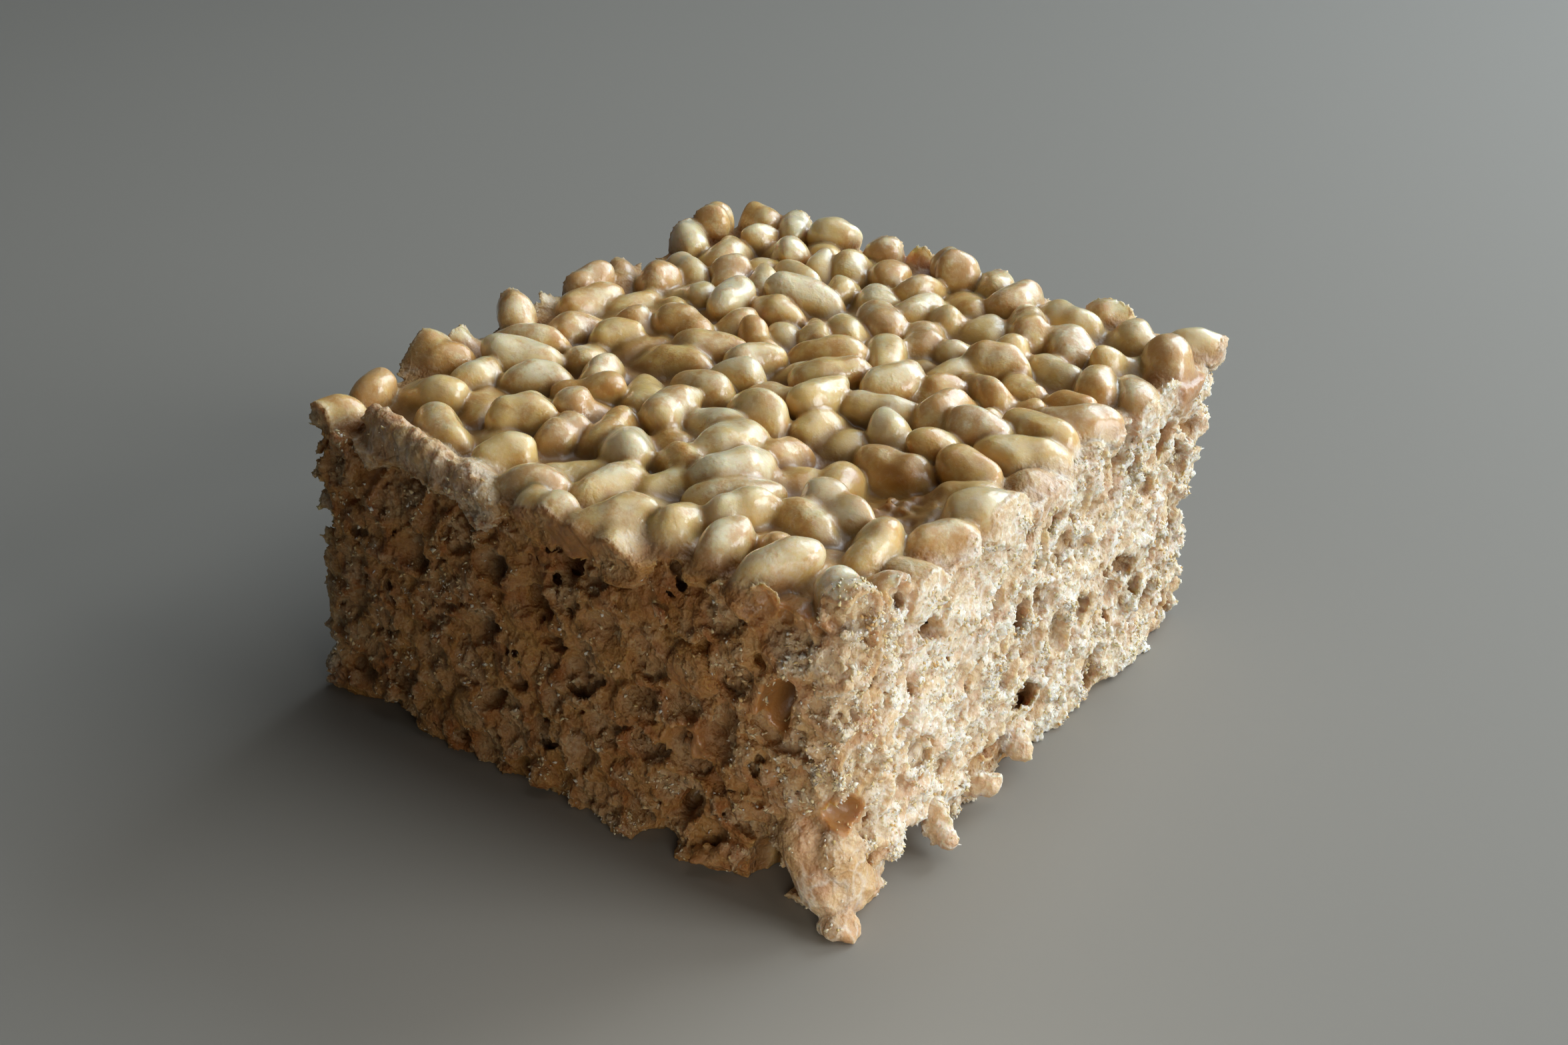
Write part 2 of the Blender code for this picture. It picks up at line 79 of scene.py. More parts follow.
# The kernels that stand out in the photograph: x, y and z of the middle, heading, tilt, length, width.
TOP_KERNELS = (
    (19, -27, 26, 55, 28, 8, 3.5), (25.5, -27.5, 26, -30, 0, 7, 4),
    (22.5, -20, 26, -80, 0, 7.5, 3.5), (26, -16, 26, 60, 0, 6.5, 3.3),
    (26.5, -20.5, 24.8, 5, 0, 5.6, 3.3), (14, -26, 26, 90, 0, 6, 3.3),
    (10, -19.5, 26, 50, 0, 8, 3.5), (16, -19.5, 25.2, -15, 0, 7.5, 4),
    (17, -16.5, 26, -15, 0, 7.5, 3.5), (11, -13.5, 25, 55, 0, 5.6, 3),
    (8, -11, 25.3, 80, 0, 5.6, 3.5), (23.5, -7.5, 25, 15, 0, 7, 3.5),
    (21.5, -4.5, 26, -15, 0, 6.5, 3.3), (10.5, -5.5, 24.5, 75, 0, 5.6, 3.3),
    (0, -29.8, 26, 5, 0, 5.6, 3.5), (5, -28.6, 26, 50, 15, 8, 3.5),
    (9.5, -26, 26, -85, 0, 6, 3.5), (7, -29.6, 24.8, -75, 0, 6, 3.5),
    (4.5, -21, 25.2, 65, 0, 5.6, 3), (-3, -24, 25.2, 60, 0, 7, 3.3),
    (3.5, -17.5, 26, -20, 0, 5.6, 3.3), (-1.5, -18.5, 26, -55, 0, 5.6, 4),
    (-5, -16.5, 26, 105, 5, 8, 3), (-7.5, -19.5, 26, 90, 0, 6.5, 3.3),
    (1.5, -11, 26, -10, 0, 6.5, 4), (-8.5, -25.5, 26, 60, 0, 5.6, 4),
    (-16, -24.5, 26, -25, 0, 8, 3.5), (-18, -27.6, 26, -15, 0, 8, 3.3),
    (-13, -28.8, 26, -15, 0, 8, 3), (-7.6, -29.6, 25.6, -20, -10, 7, 3.3),
    (-24.5, -23.5, 27, -70, 0, 5.6, 3), (-24, -28.6, 26.4, 65, 0, 5.6, 3),
    (-20.5, -16, 26, -85, 0, 5.6, 3.3), (-16.5, -19, 25.2, -55, 0, 7, 3.3),
    (-13, 3.5, 26.6, -10, 0, 7, 4), (-20, 5.5, 26, 80, 0, 6.5, 3.3),
    (-16.5, -2, 26.5, 55, 0, 5.6, 3.3), (-12.5, -8.5, 26, -70, 0, 6, 3.3),
    (-20, -11, 26.6, 35, -12, 8, 3.5), (-16, -13, 26, 40, 0, 7, 3.3),
    (-7, -9.5, 25.6, -55, 0, 8, 3.5), (-9, -2.5, 25.8, 10, 0, 8, 3.5),
    (-26, -5, 27.6, -40, 0, 7, 3.3), (-26, 5.5, 27.3, 90, 0, 5.6, 3.3),
    (2, -3.5, 26, 20, 0, 5.6, 3.5), (10.5, 0, 26, 25, 0, 8, 3.5),
    (5, 9, 26.2, 125, 5, 8, 3.5), (-2.5, 9, 26.4, -50, 0, 7.5, 3),
    (1.5, 3, 25.4, 45, 0, 6.5, 3.3), (11, 10, 25.4, 80, 0, 5.6, 3.3),
    (15.5, 8, 26, -30, 0, 7.5, 3.5), (-2.5, 19, 26.4, -45, 0, 6, 3.5),
    (13.5, 26, 26, -10, 0, 8, 4.4), (20.5, 26.5, 25.4, 135, 18, 8, 4.4),
    (25.6, 22.5, 26, 130, 30, 8, 4), (26, 15.5, 26, 125, 8, 8, 3.5),
    (18, 16, 26, -25, 0, 7.5, 3.3), (17.5, 11, 26, -35, 0, 5.6, 3),
    (24.5, 7.5, 26, 30, 8, 8, 4), (23.5, 0, 26, 25, 0, 8, 3.5),
    (26.2, -2.5, 25, 60, 0, 5.6, 3), (-25.6, 24.5, 27.9, -70, 0, 5.6, 3.6),
    (-23, 28.6, 27.6, -30, 0, 5.6, 3.3), (-14, 28.8, 27.9, 25, 0, 5.6, 3.4),
    (0, 28.2, 27.7, -35, 0, 6.5, 4.4), (-8, 15, 27, 15, -15, 8, 4),
)
TORN_KERNELS = (1,)  # at the near corner
CREST_KERNELS = (27, 28, 29)  # the torn pale crest on the front rim
LEFT_CORNER_KERNEL = 31  # kept from standing past the slab's corner
LOW_KERNELS = (
    (24.6, -29.2, 4.4, 0, -58, 8.8, 3.8),
    (27.9, -17, 2.3, -35, -25, 6.5, 3.2),
    (27.6, -10.5, 2.2, 20, 10, 5.5, 3),
    (27.4, -3.5, 2.4, -50, -15, 6, 3.4),
    (16.5, -30, 2, 20, 20, 6, 3.6),
    (-1.5, -29.8, 1.7, -30, 0, 4.5, 3),
)

# Hollows in the sides: along the side, height, half its length, half its height, depth, turn.
FRONT_HOLLOWS = (
    (20.3, 0.5, 1.7, 4.6, 5.0, 0),
    (10.2, 0.2, 1.7, 1.4, 2.2, 0),
    (-20.0, 0.2, 4.6, 1.7, 2.0, 0),
    (21.4, 17.0, 1.3, 2.4, 2.8, 8),
    (-1.7, 17.6, 1.7, 1.5, 2.6, 0),
    (-0.2, 14.5, 1.7, 0.8, 2.2, 0),
    (1.8, 22.0, 1.2, 1.9, 2.6, 0),
    (12.6, 4.4, 1.7, 0.9, 3.0, -50),
    (15.2, 8.3, 1.7, 1.1, 2.0, 10),
    (-6.4, 7.2, 1.3, 0.8, 2.0, -40),
)
RIGHT_HOLLOWS = (
    (-19.0, 0.2, 5.2, 2.9, 3.2, 0),
    (-28.4, 9.2, 1.8, 1.4, 2.4, 25),
    (-19.0, 20.6, 1.5, 0.9, 2.2, 45),
    (14.0, 11.2, 2.8, 0.8, 2.2, 35),
    (22.8, 12.0, 1.1, 2.6, 1.8, 0),
    (-6.5, 3.3, 1.5, 1.0, 2.0, 0),
)
UNSEEN_HOLLOWS = 9
SMOOTH_HOLLOWS = (3, len(FRONT_HOLLOWS) + 1)  # which of them the marshmallow lines

# The grid of the distance field.
STEP = 0.2
FIELD_LOW = (-WIDTH / 2 - 2.4, -DEPTH / 2 - 2.8, -0.7)
FIELD_HIGH = (WIDTH / 2 + 3.6, DEPTH / 2 + 1.8, TOP_FAR + 1.2)
FAR_OFF = 4.0
LUMP_MARGIN = 1.2  # lumps and hollows are worked out this far around themselves

# The kernels' own shapes.
BURIED = (1.5, 4.5)  # they turn from bare to buried between these depths
WARP = ((0.26, 2.3), (0.16, 1.15))  # how far their skins wander, and over what distance
SIDE_WARP = 1.7  # how much more where they are cut
BEND = 0.75
TAPER = 0.2
WAIST = 0.2
WAIST_WIDTH = 0.28
BLUNT = 2.4  # 2 for ends like an ellipse's, and more for blunter ones
PLUMP = (0.95, 1.1)  # how much shorter and wider they are than in the packing
FLATNESS = (0.84, 0.97)

# The marshmallow between the kernels.
FILLET_TOP = (0.4, 1.2)  # how far it draws up between kernels, where there is least and most of it
FILLET_SIDE = 1.2
COAT_TOP = 0.05  # how thick it lies on the kernels at the top
COAT_SIDE = 0.5  # and deeper down, where it fills more of the gaps
GAP_FLOOR = 3.0  # how deep the gaps on top go
SOLID_INSIDE = 3.4  # no gap goes deeper than this from a side

# The sticky brown hollow, where no kernel reaches the top.
STAIN_AT = (19.2, -10.6)
STAIN_RADIUS = 5.0

# The knife's cut.
SET_BACK = 0.4
WANDER = ((0.4, 4.5), (0.3, 1.9))  # how far the cut wanders, and over what distance
RAGGED = ((0.32, 1.0), (0.24, 0.55), (0.15, 0.34))  # and how far its crumb stands up
CRATER = 1.8  # how far the foam may be torn out below the cut
RIDGE = 0.3  # how far torn skins stand above it
GRAIN = 0.74  # spacing of the crumb's grains
GRAIN_PROUD = 1.2
WHOLE_SHARE = 0.07  # kernels at the cut that come out whole
WHOLE_PROUD = 0.8
RIM_PROUD = (1.6, 1.0)  # how far rim kernels may pass the cut, at the front and elsewhere
UNDERCUT = 0.8  # how far the front steps in below its rim
CALM = (0.13, 0.25)  # how much calmer the right side is, and the two unseen ones
RIGHT_SIDE = (24.0, 26.5)  # where that sets in along x
LEFT_SIDE = (-24.0, -26.5)
BACK_SIDE = (25.5, 28.5)  # and along y
PIT = 1.7  # spacing of the pits in the cut crumb
PIT_RADIUS = (-0.8, 0.6)  # those below 0 make no pit
PIT_DEPTH = 1.6
FILM_SPACING = 2.8  # how far apart sticky amber patches lie on the cut
LINING = 0.45  # a smooth wall this thick lines a smooth hollow

# Crumb that fills out the foot at the near corner: x, y, z, and half sizes.
FOOT_CRUMB = (
    (27.7, -30.2, 0.7, 1.5, 1.5, 1.2),
    (28.4, -30.5, 0.5, 1.0, 1.0, 0.9),
    (26.9, -27.6, 2.3, 1.4, 2.1, 2.2),
    (26.5, -26.0, 1.4, 1.5, 2.0, 1.6),
    (25.7, -28.2, 5.0, 2.1, 2.2, 2.6),
)

# The torn pale ridge along the front rim, in the same way.
CREST_CRUMB = (
    (-18.5, -28.1, 27.1, 2.4, 1.0, 1.3),
    (-15.2, -28.9, 27.2, 2.2, 0.9, 1.4),
    (-12.0, -29.3, 26.9, 2.2, 1.0, 1.3),
    (-8.6, -29.7, 26.2, 2.0, 1.0, 1.5),
)

# Loose flakes and grains that cling to the cut, each with six corners and eight faces.
CORNER_REACH = 5.0  # they are thickest within this of the near corner
FLAKES = 9_000
FLAKE_SIZE = (0.09, 0.32)
FLAKE_CORNERS = ((1, 0, 0), (-1, 0, 0), (0, 1, 0), (0, -1, 0), (0, 0, 1), (0, 0, -1))
FLAKE_FACES = ((0, 2, 4), (2, 1, 4), (1, 3, 4), (3, 0, 4), (2, 0, 5), (1, 2, 5), (3, 1, 5), (0, 3, 5))
JITTER = 0.035  # how far each corner of the crumb's mesh is shifted
SPIKE = 0.32  # and how far the longest shreds stand out

MOST_TRIANGLES = 840_000


def unit(vectors):
    """Each row at length one."""
    return vectors / np.linalg.norm(vectors, axis=-1, keepdims=True)


def ease(values, low, high):
    """From 0 at low to 1 at high, whichever is the greater."""
    share = np.clip((values - low) / (high - low), 0, 1)
    return share * share * (3 - 2 * share)


def sides_at(x, y, z):
    """Where the four cuts stand at a point: left, right, front and back."""
    up = np.clip(z / TOP_NEAR, 0, 1)
    corner_x = IN_CORNER * np.clip(np.abs(y) / (DEPTH / 2), 0, 1) ** 8
    corner_y = IN_CORNER * np.clip(np.abs(x) / (WIDTH / 2), 0, 1) ** 8
    cuts = (
        (-1, WIDTH, *IN_LEFT, corner_x),
        (1, WIDTH, *IN_RIGHT, corner_x),
        (-1, DEPTH, *IN_FRONT, corner_y),
        (1, DEPTH, *IN_BACK, corner_y),
    )
    return [way * (span / 2 - foot * (1 - up) - top * up - corner) for way, span, foot, top, corner in cuts]


def outside_cuts(x, y, z):
    """How far a point lies outside the nearest cut, less than 0 inside the slab."""
    left, right, front, back = sides_at(x, y, z)
    return np.maximum(np.maximum(left - x, x - right), np.maximum(front - y, y - back))


def near_corner(x, y):
    """1 at the slab's near corner, and fading from it."""
    _, right, front, _ = sides_at(x, y, 0.0 * x)
    return np.exp(-(((right - x) ** 2 + (y - front) ** 2) / CORNER_REACH**2))


def stain_share(x, y):
    """1 in the middle of the sticky brown hollow, and fading from it."""
    return np.exp(-(((x - STAIN_AT[0]) ** 2 + (y - STAIN_AT[1]) ** 2) / STAIN_RADIUS**2))


def top_at(x, y):
    """Height of the kernels' backs at a point, which the brown hollow lowers."""
    share = np.clip(0.5 + (y / DEPTH - x / WIDTH) / 2, 0, 1)
    away = ((x - HOLLOW_AT[0]) ** 2 + (y - HOLLOW_AT[1]) ** 2) / HOLLOW_RADIUS**2
    return TOP_NEAR + (TOP_FAR - TOP_NEAR) * share - HOLLOW_DEPTH * np.exp(-away)


def depth_of(points):
    """How far points lie below the kernels' backs."""
    return top_at(points[:, 0], points[:, 1]) - points[:, 2]


def seen_kernels(rows):
    """Centres, axes, lengths and radii of the listed kernels."""
    rows = np.array(rows, float)
    heading, tilt = np.radians(rows[:, 3]), np.radians(rows[:, 4])
    level = np.cos(tilt)
    axes = np.stack([np.cos(heading) * level, np.sin(heading) * level, np.sin(tilt)], -1)
    return rows[:, :3], axes, rows[:, 5], rows[:, 6] / 2


def start_positions(rng):
    """One point in each cell of a lattice over the slab and its margin, shaken about."""
    spans = np.array([WIDTH + 2 * MARGIN, DEPTH + 2 * MARGIN, TOP_NEAR])
    counts = np.maximum(np.round(spans / CELL).astype(int), 1)
    grid = np.stack(np.meshgrid(*[np.arange(n) for n in counts], indexing="ij"), -1)
    share = (grid.reshape(-1, 3) + rng.uniform(0.15, 0.85, (grid.size // 3, 3))) / counts
    low = np.array([-WIDTH / 2 - MARGIN, -DEPTH / 2 - MARGIN, 0])
    return low + share * spans


def near_pairs(centres, reach):
    """Index pairs of the kernels whose centres lie within reach."""
    tree = kdtree.KDTree(len(centres))
    for i, centre in enumerate(centres):
        tree.insert(centre, i)
    tree.balance()
    found = [(i, j) for i, c in enumerate(centres) for _, j, _ in tree.find_range(c, reach) if j > i]
    return np.array(found).T


def pack_kernels():
    """Squeezes kernels together around the seen ones, between the pan and the pressed top.

    Each is three balls on a rod. Balls that overlap push each other off, and the rods are then made
    straight. The seen kernels come first and stay put. Returns centres, axes, lengths and radii.
    """
    rng = np.random.default_rng(SEED)
    seen = seen_kernels(TOP_KERNELS + LOW_KERNELS)
    starts = start_positions(rng)
    gap = np.linalg.norm(starts[:, None] - seen[0][None], axis=-1).min(1)
    starts = starts[gap > 0.75 * CELL]
    n = len(starts)
    centres = np.concatenate([seen[0], starts])
    axes = np.concatenate([seen[1], unit(rng.normal(size=(n, 3)) * (1, 1, LIE_FLAT))])
    lengths = np.concatenate([seen[2], rng.uniform(*KERNEL_LENGTH, n)])
    radii = np.concatenate([seen[3], rng.uniform(*KERNEL_RADIUS, n)])
    free = (np.arange(len(centres)) >= len(seen[0]))[:, None, None]
    uneven = rng.uniform(0, 1, len(centres)) ** 2 * TOP_UNEVEN
    arms = (lengths / 2 - radii)[:, None, None] * np.array([-1, 0, 1])[None, :, None]
    for turn in range(PACK_ROUNDS):
        if turn % 6 == 0:
            first, second = near_pairs(centres, KERNEL_LENGTH[1] + 1)
        balls = centres[:, None] + axes[:, None] * arms
        apart = balls[first][:, :, None] - balls[second][:, None]
        gap = np.linalg.norm(apart, axis=-1)
        deep = np.clip((radii[first] + radii[second])[:, None, None] - gap, 0, None)
        push = apart * (PUSH * deep / np.maximum(gap, 0.01) / 2)[..., None]
        moves = np.zeros_like(balls)
        np.add.at(moves, first, push.sum(2))
        np.add.at(moves, second, -push.sum(1))
        balls += np.clip(moves, -0.5, 0.5) * free
        ceilings = top_at(balls[..., 0], balls[..., 1]) - uneven[:, None]
        pressed = np.clip(balls[..., 2], radii[:, None], ceilings - radii[:, None])
        balls[..., 2] = np.where(free[..., 0], pressed, balls[..., 2])
        centres = balls.mean(1)
        axes = unit(balls[:, 2] - balls[:, 0])
    return centres, axes, lengths, radii


def unseen_hollows(rng, half_run):
    """Hollows for a side that the photograph doesn't show, like those that it does."""
    spots = []
    for i in range(UNSEEN_HOLLOWS):
        along = half_run * (2 * (i + rng.uniform(0.2, 0.8)) / UNSEEN_HOLLOWS - 1)
        half_length = rng.uniform(1.1, 2.2)
        half_height = rng.uniform(0.8, 1.5)
        height = (rng.uniform(0.0, 0.8), rng.uniform(5, 13), rng.uniform(13, 21))[i % 3]
        spots.append((along, height, half_length, half_height, rng.uniform(1.8, 2.8), rng.uniform(-50, 50)))
    return spots


def all_hollows():
    """Each hollow's middle, frame and half sizes, in the order of the solid's cutters."""
    rng = np.random.default_rng(SEED)
    up = Vector((0, 0, 1))
    sides = (
        ((0, 1, 0), 2, FRONT_HOLLOWS),
        ((-1, 0, 0), 1, RIGHT_HOLLOWS),
        ((0, -1, 0), 3, unseen_hollows(rng, WIDTH / 2)),
        ((1, 0, 0), 0, unseen_hollows(rng, DEPTH / 2)),
    )
    found = []
    for inward, side, hollows in sides:
        inward = Vector(inward)
        run = inward.cross(up)
        for along, height, half_length, half_height, depth, turn in hollows:
            middle = run * along + up * height
            place = float(sides_at(*middle)[side])
            middle = middle + Vector((abs(inward.x), abs(inward.y), 0)) * place
            turned = Matrix.Rotation(math.radians(turn), 3, "Y")
            axes = Matrix((run, inward, up)).transposed() @ turned
            found.append((np.array(middle), np.array(axes), np.array((half_length, depth, half_height))))
    return found


class Field:
    """The grid that all distances are kept on."""

    def __init__(self):
        self.low = np.array(FIELD_LOW)
        self.shape = tuple(np.ceil((np.array(FIELD_HIGH) - self.low) / STEP).astype(int))
        lines = [(self.low[i] + STEP * np.arange(self.shape[i])).astype(np.float32) for i in range(3)]
        self.x, self.y, self.z = np.ix_(*lines)

    def window(self, centre, reach):
        """The slices of the grid within reach of a point, or None if there are none."""
        first = np.clip(np.floor((centre - reach - self.low) / STEP).astype(int), 0, self.shape)
        last = np.clip(np.ceil((centre + reach - self.low) / STEP).astype(int) + 1, 0, self.shape)
        if (last - first).min() < 2:
            return None
        return tuple(slice(a, b) for a, b in zip(first, last))

    def places(self, window):
        """The grid's coordinates in a window, as three arrays that broadcast."""
        return self.x[window[0]], self.y[:, window[1]], self.z[:, :, window[2]]

    def at(self, values, points):
        """The values at some points, between the grid's own."""
        share = (points - self.low) / STEP
        base = np.clip(np.floor(share).astype(int), 0, np.array(self.shape) - 2)
        share = np.clip(share - base, 0, 1)
        found = np.zeros(len(points), np.float32)
        for corner in np.ndindex(2, 2, 2):
            weight = np.prod(np.where(corner, share, 1 - share), axis=1)
            index = base + corner
            found += weight * values[index[:, 0], index[:, 1], index[:, 2]]
        return found

    def nearest(self, values, points):
        """The values at the grid points nearest to some points."""
        index = np.clip(np.round((points - self.low) / STEP).astype(int), 0, np.array(self.shape) - 1)
        return values[index[:, 0], index[:, 1], index[:, 2]]

    def noise(self, spacing, seed):
        """Smooth noise over the grid, mostly between -1 and 1, with bumps about the spacing apart."""
        rng = np.random.default_rng(seed)
        span = np.array(self.shape) * STEP
        values = rng.normal(size=tuple(np.ceil(span / spacing).astype(int) + 4)).astype(np.float32) * 0.75
        for axis in range(3):
            share = np.arange(self.shape[axis]) * STEP / spacing + 1
            base = share.astype(int)
            t = (share - base).astype(np.float32).reshape([-1 if axis == j else 1 for j in range(3)])
            rows = [np.take(values, base + k, axis=axis) for k in (-1, 0, 1, 2)]
            weights = (
                (1 - t) ** 3 / 6,
                (3 * t**3 - 6 * t**2 + 4) / 6,
                (-3 * t**3 + 3 * t**2 + 3 * t + 1) / 6,
                t**3 / 6,
            )
            values = sum(row * weight for row, weight in zip(rows, weights))
        return values * 1.9


def kernel_traits(count):
    """What makes each kernel its own: drawn once, in the kernels' order."""
    rng = np.random.default_rng(SEED + 1)
    return {
        "bend": rng.uniform(-BEND, BEND, count),
        "taper": rng.uniform(-TAPER, TAPER, count),
        "waist": rng.uniform(0, WAIST, count) * (rng.uniform(size=count) < 0.5),
        "waist_at": rng.uniform(-0.35, 0.35, count),
        "flat": rng.uniform(*FLATNESS, count),
        "roll": rng.uniform(0, math.pi, count),
        "sunk": CRATER * rng.uniform(size=count) ** 1.4,
        "fate": rng.uniform(size=count),
        "tint": rng.uniform(size=count),
        "toast": rng.uniform(size=count),
    }


def kernel_distance(index, packed, traits, places, warps):
    """Distance to one kernel's skin over a window, less than 0 inside."""
    centre, axis, length, radius = [values[index] for values in packed]
    own = {name: values[index] for name, values in traits.items()}
    side = np.cross(axis, (0, 0, 1) if abs(axis[2]) < 0.9 else (1, 0, 0))
    side = side / np.linalg.norm(side)
    across = side * math.cos(own["roll"]) + np.cross(axis, side) * math.sin(own["roll"])
    third = np.cross(axis, across)
    offset = [place - c + warp for place, c, warp in zip(places, centre, warps)]
    u, v, w = [sum(part * d for part, d in zip(offset, line)) for line in (axis, across, third)]
    half = length / 2
    u = u / half
    v = v - own["bend"] * (u * u - 0.3)
    waist = own["waist"] * np.exp(-(((u - own["waist_at"]) / WAIST_WIDTH) ** 2))
    thick = np.maximum(radius * (1 + own["taper"] * u - waist), 0.35 * radius)
    thin = thick * own["flat"]
    v = v / thick
    w = w / thin
    whole = np.sqrt(np.abs(u) ** BLUNT + v * v + w * w)
    slope = np.sqrt((u / half) ** 2 + (v / thick) ** 2 + (w / thin) ** 2)
    return whole * (whole - 1) / np.maximum(slope, 0.05)


def stamp_kernels(field, packed, traits, chosen, buried):
    """Distances to the nearest kernel and to the next, and the index of the nearest."""
    nearest = np.full(field.shape, FAR_OFF, np.float32)
    second = np.full(field.shape, FAR_OFF, np.float32)
    owner = np.full(field.shape, -1, np.int16)
    more = 1 + (SIDE_WARP - 1) * buried
    warps = [more * noises(field, WARP, SEED + 10 + 3 * i) for i in range(3)]
    for index in chosen:
        window = field.window(packed[0][index], packed[2][index] / 2 + 1.6)
        if window is None:
            continue
        warped = [warp[window] for warp in warps]
        found = kernel_distance(index, packed, traits, field.places(window), warped)
        before = nearest[window]
        closer = found < before
        second[window] = np.where(closer, before, np.minimum(second[window], found))
        nearest[window] = np.where(closer, found, before)
        owner[window] = np.where(closer, np.int16(index), owner[window])
    return nearest, second, owner


def scattered_balls(field, mask, spacing, radii, seed):
    """At the grid points of a mask, how far inside a scatter of balls each lies."""
    rng = np.random.default_rng(seed)
    where = np.nonzero(mask)
    points = [field.low[i] + STEP * where[i] for i in range(3)]
    cells = [np.floor(p / spacing).astype(int) for p in points]
    size = [int(c.max() - c.min()) + 3 for c in cells]
    start = [int(c.min()) - 1 for c in cells]
    jitter = rng.uniform(0.08, 0.92, (*size, 3)).astype(np.float32)
    radius = rng.uniform(*radii, size).astype(np.float32)
    inside = np.full(len(points[0]), -1.0, np.float32)
    for offset in np.ndindex(3, 3, 3):
        index = [c - s + o - 1 for c, s, o in zip(cells, start, offset)]
        spot = jitter[index[0], index[1], index[2]]
        parts = enumerate(zip(points, cells, offset))
        away = sum((p - (c + o - 1 + spot[:, i]) * spacing) ** 2 for i, (p, c, o) in parts)
        inside = np.maximum(inside, radius[index[0], index[1], index[2]] - np.sqrt(away))
    found = np.full(field.shape, -1.0, np.float32)
    found[where] = inside
    return found


def soft_min(first, second, reach):
    """The lesser of two distances, with the crease between them rounded."""
    blend = np.clip(reach - np.abs(first - second), 0, None)
    return np.minimum(first, second) - blend * blend / (4 * reach)


def ellipsoid(places, middle, axes, half):
    """Distance to an ellipsoid, less than 0 inside."""
    parts = [place - m for place, m in zip(places, middle)]
    scaled = [sum(parts[j] * axes[j][i] for j in range(3)) / half[i] for i in range(3)]
    whole = np.sqrt(sum(s**2 for s in scaled))
    slope = np.sqrt(sum((s / h) ** 2 for s, h in zip(scaled, half)))
    return whole * (whole - 1) / np.maximum(slope, 0.05)


def ellipsoids(field, rows):
    """Distance to the nearest of some ellipsoids, no farther than the margin from them."""
    found = np.full(field.shape, FAR_OFF, np.float32)
    for middle, axes, half in rows:
        window = field.window(middle, half.max() + LUMP_MARGIN)
        near = ellipsoid(field.places(window), middle, axes, half)
        found[window] = np.minimum(found[window], near)
    return found


def noises(field, rows, seed):
    """Several noises laid over each other, each with its size and spacing."""
    return sum(size * field.noise(spacing, seed + i) for i, (size, spacing) in enumerate(rows))


def kernels_to_stamp(centres, low):
    """The kernels that may show at the top, the sides or the base."""
    outside = outside_cuts(*centres.T)
    depth = depth_of(centres)
    shallow = np.minimum(-outside, depth) < SOLID_INSIDE + 4.0
    base = centres[:, 2] < 3.4
    stained = (np.linalg.norm(centres[:, :2] - STAIN_AT, axis=1) < STAIN_RADIUS) & (depth < 4.6)
    halved = (depth < 3.2) & (outside > 0.3)
    skipped = stained | halved
    skipped[: len(TOP_KERNELS)] = False
    return np.flatnonzero((shallow | base) & (outside < 2.6) & ~low & ~skipped)


def joined_kernels(field, nearest, second, cut, below_top, ragged):
    """The kernels with the marshmallow that joins them and fills their gaps, more so away from the top."""
    buried = ease(below_top, *BURIED)
    buried = buried * (1 - ease(cut, -1.2, 0.4) * ease(below_top, 6.5, 4.5))
    film = ease(field.noise(5.0, SEED + 25), -0.6, 1.0)
    reach = FILLET_TOP[0] + (FILLET_TOP[1] - FILLET_TOP[0]) * film
    reach = reach + (FILLET_SIDE - reach) * buried
    fillet = np.clip(reach - (second - nearest), 0, None) ** 2 / (4 * reach)
    coat = COAT_TOP + (COAT_SIDE - COAT_TOP) * buried
    shape = nearest - fillet - coat + 0.5 * ragged * buried
    stain = stain_share(field.x, field.y)
    floor = GAP_FLOOR - below_top + 0.5 * field.noise(4.0, SEED + 20) - stain * (1.3 + 0.9 * ragged)
    shape = soft_min(shape, floor + 8 * ease(below_top, 4.8, 6.8), 0.8)
    inner = SOLID_INSIDE + np.maximum(cut, np.maximum(-below_top, -field.z - 2.4))
    return np.minimum(shape, inner)


def side_hollows(field, ragged):
    """Distances to the rough hollows in the sides, and to the smooth ones."""
    rows = list(enumerate(all_hollows()))
    rough = ellipsoids(field, [row for i, row in rows if i not in SMOOTH_HOLLOWS])
    lined = ellipsoids(field, [row for i, row in rows if i in SMOOTH_HOLLOWS])
    return rough + 0.8 * ragged - 0.2, lined


def how_proud(centres, traits):
    """How far each kernel may stand past the knife's cut, 0 for those that it cuts."""
    outside = outside_cuts(*centres.T)
    depth = depth_of(centres)
    fate = traits["fate"]
    on_rim = (outside < -0.4) & (depth < 3.6)
    proud = np.where((fate > 1 - WHOLE_SHARE) & (outside < -0.2), WHOLE_PROUD, 0.0)
    proud = np.where((fate > 0.2) & on_rim, RIM_PROUD[1], proud).astype(np.float32)
    listed = np.arange(len(centres)) < len(TOP_KERNELS)
    proud[listed] = np.where(centres[listed, 1] < -24, *RIM_PROUD)
    proud[listed & (outside > -0.4)] = RIM_PROUD[1]
    proud[LEFT_CORNER_KERNEL] = 0.2
    proud[list(TORN_KERNELS)] = 0
    return proud


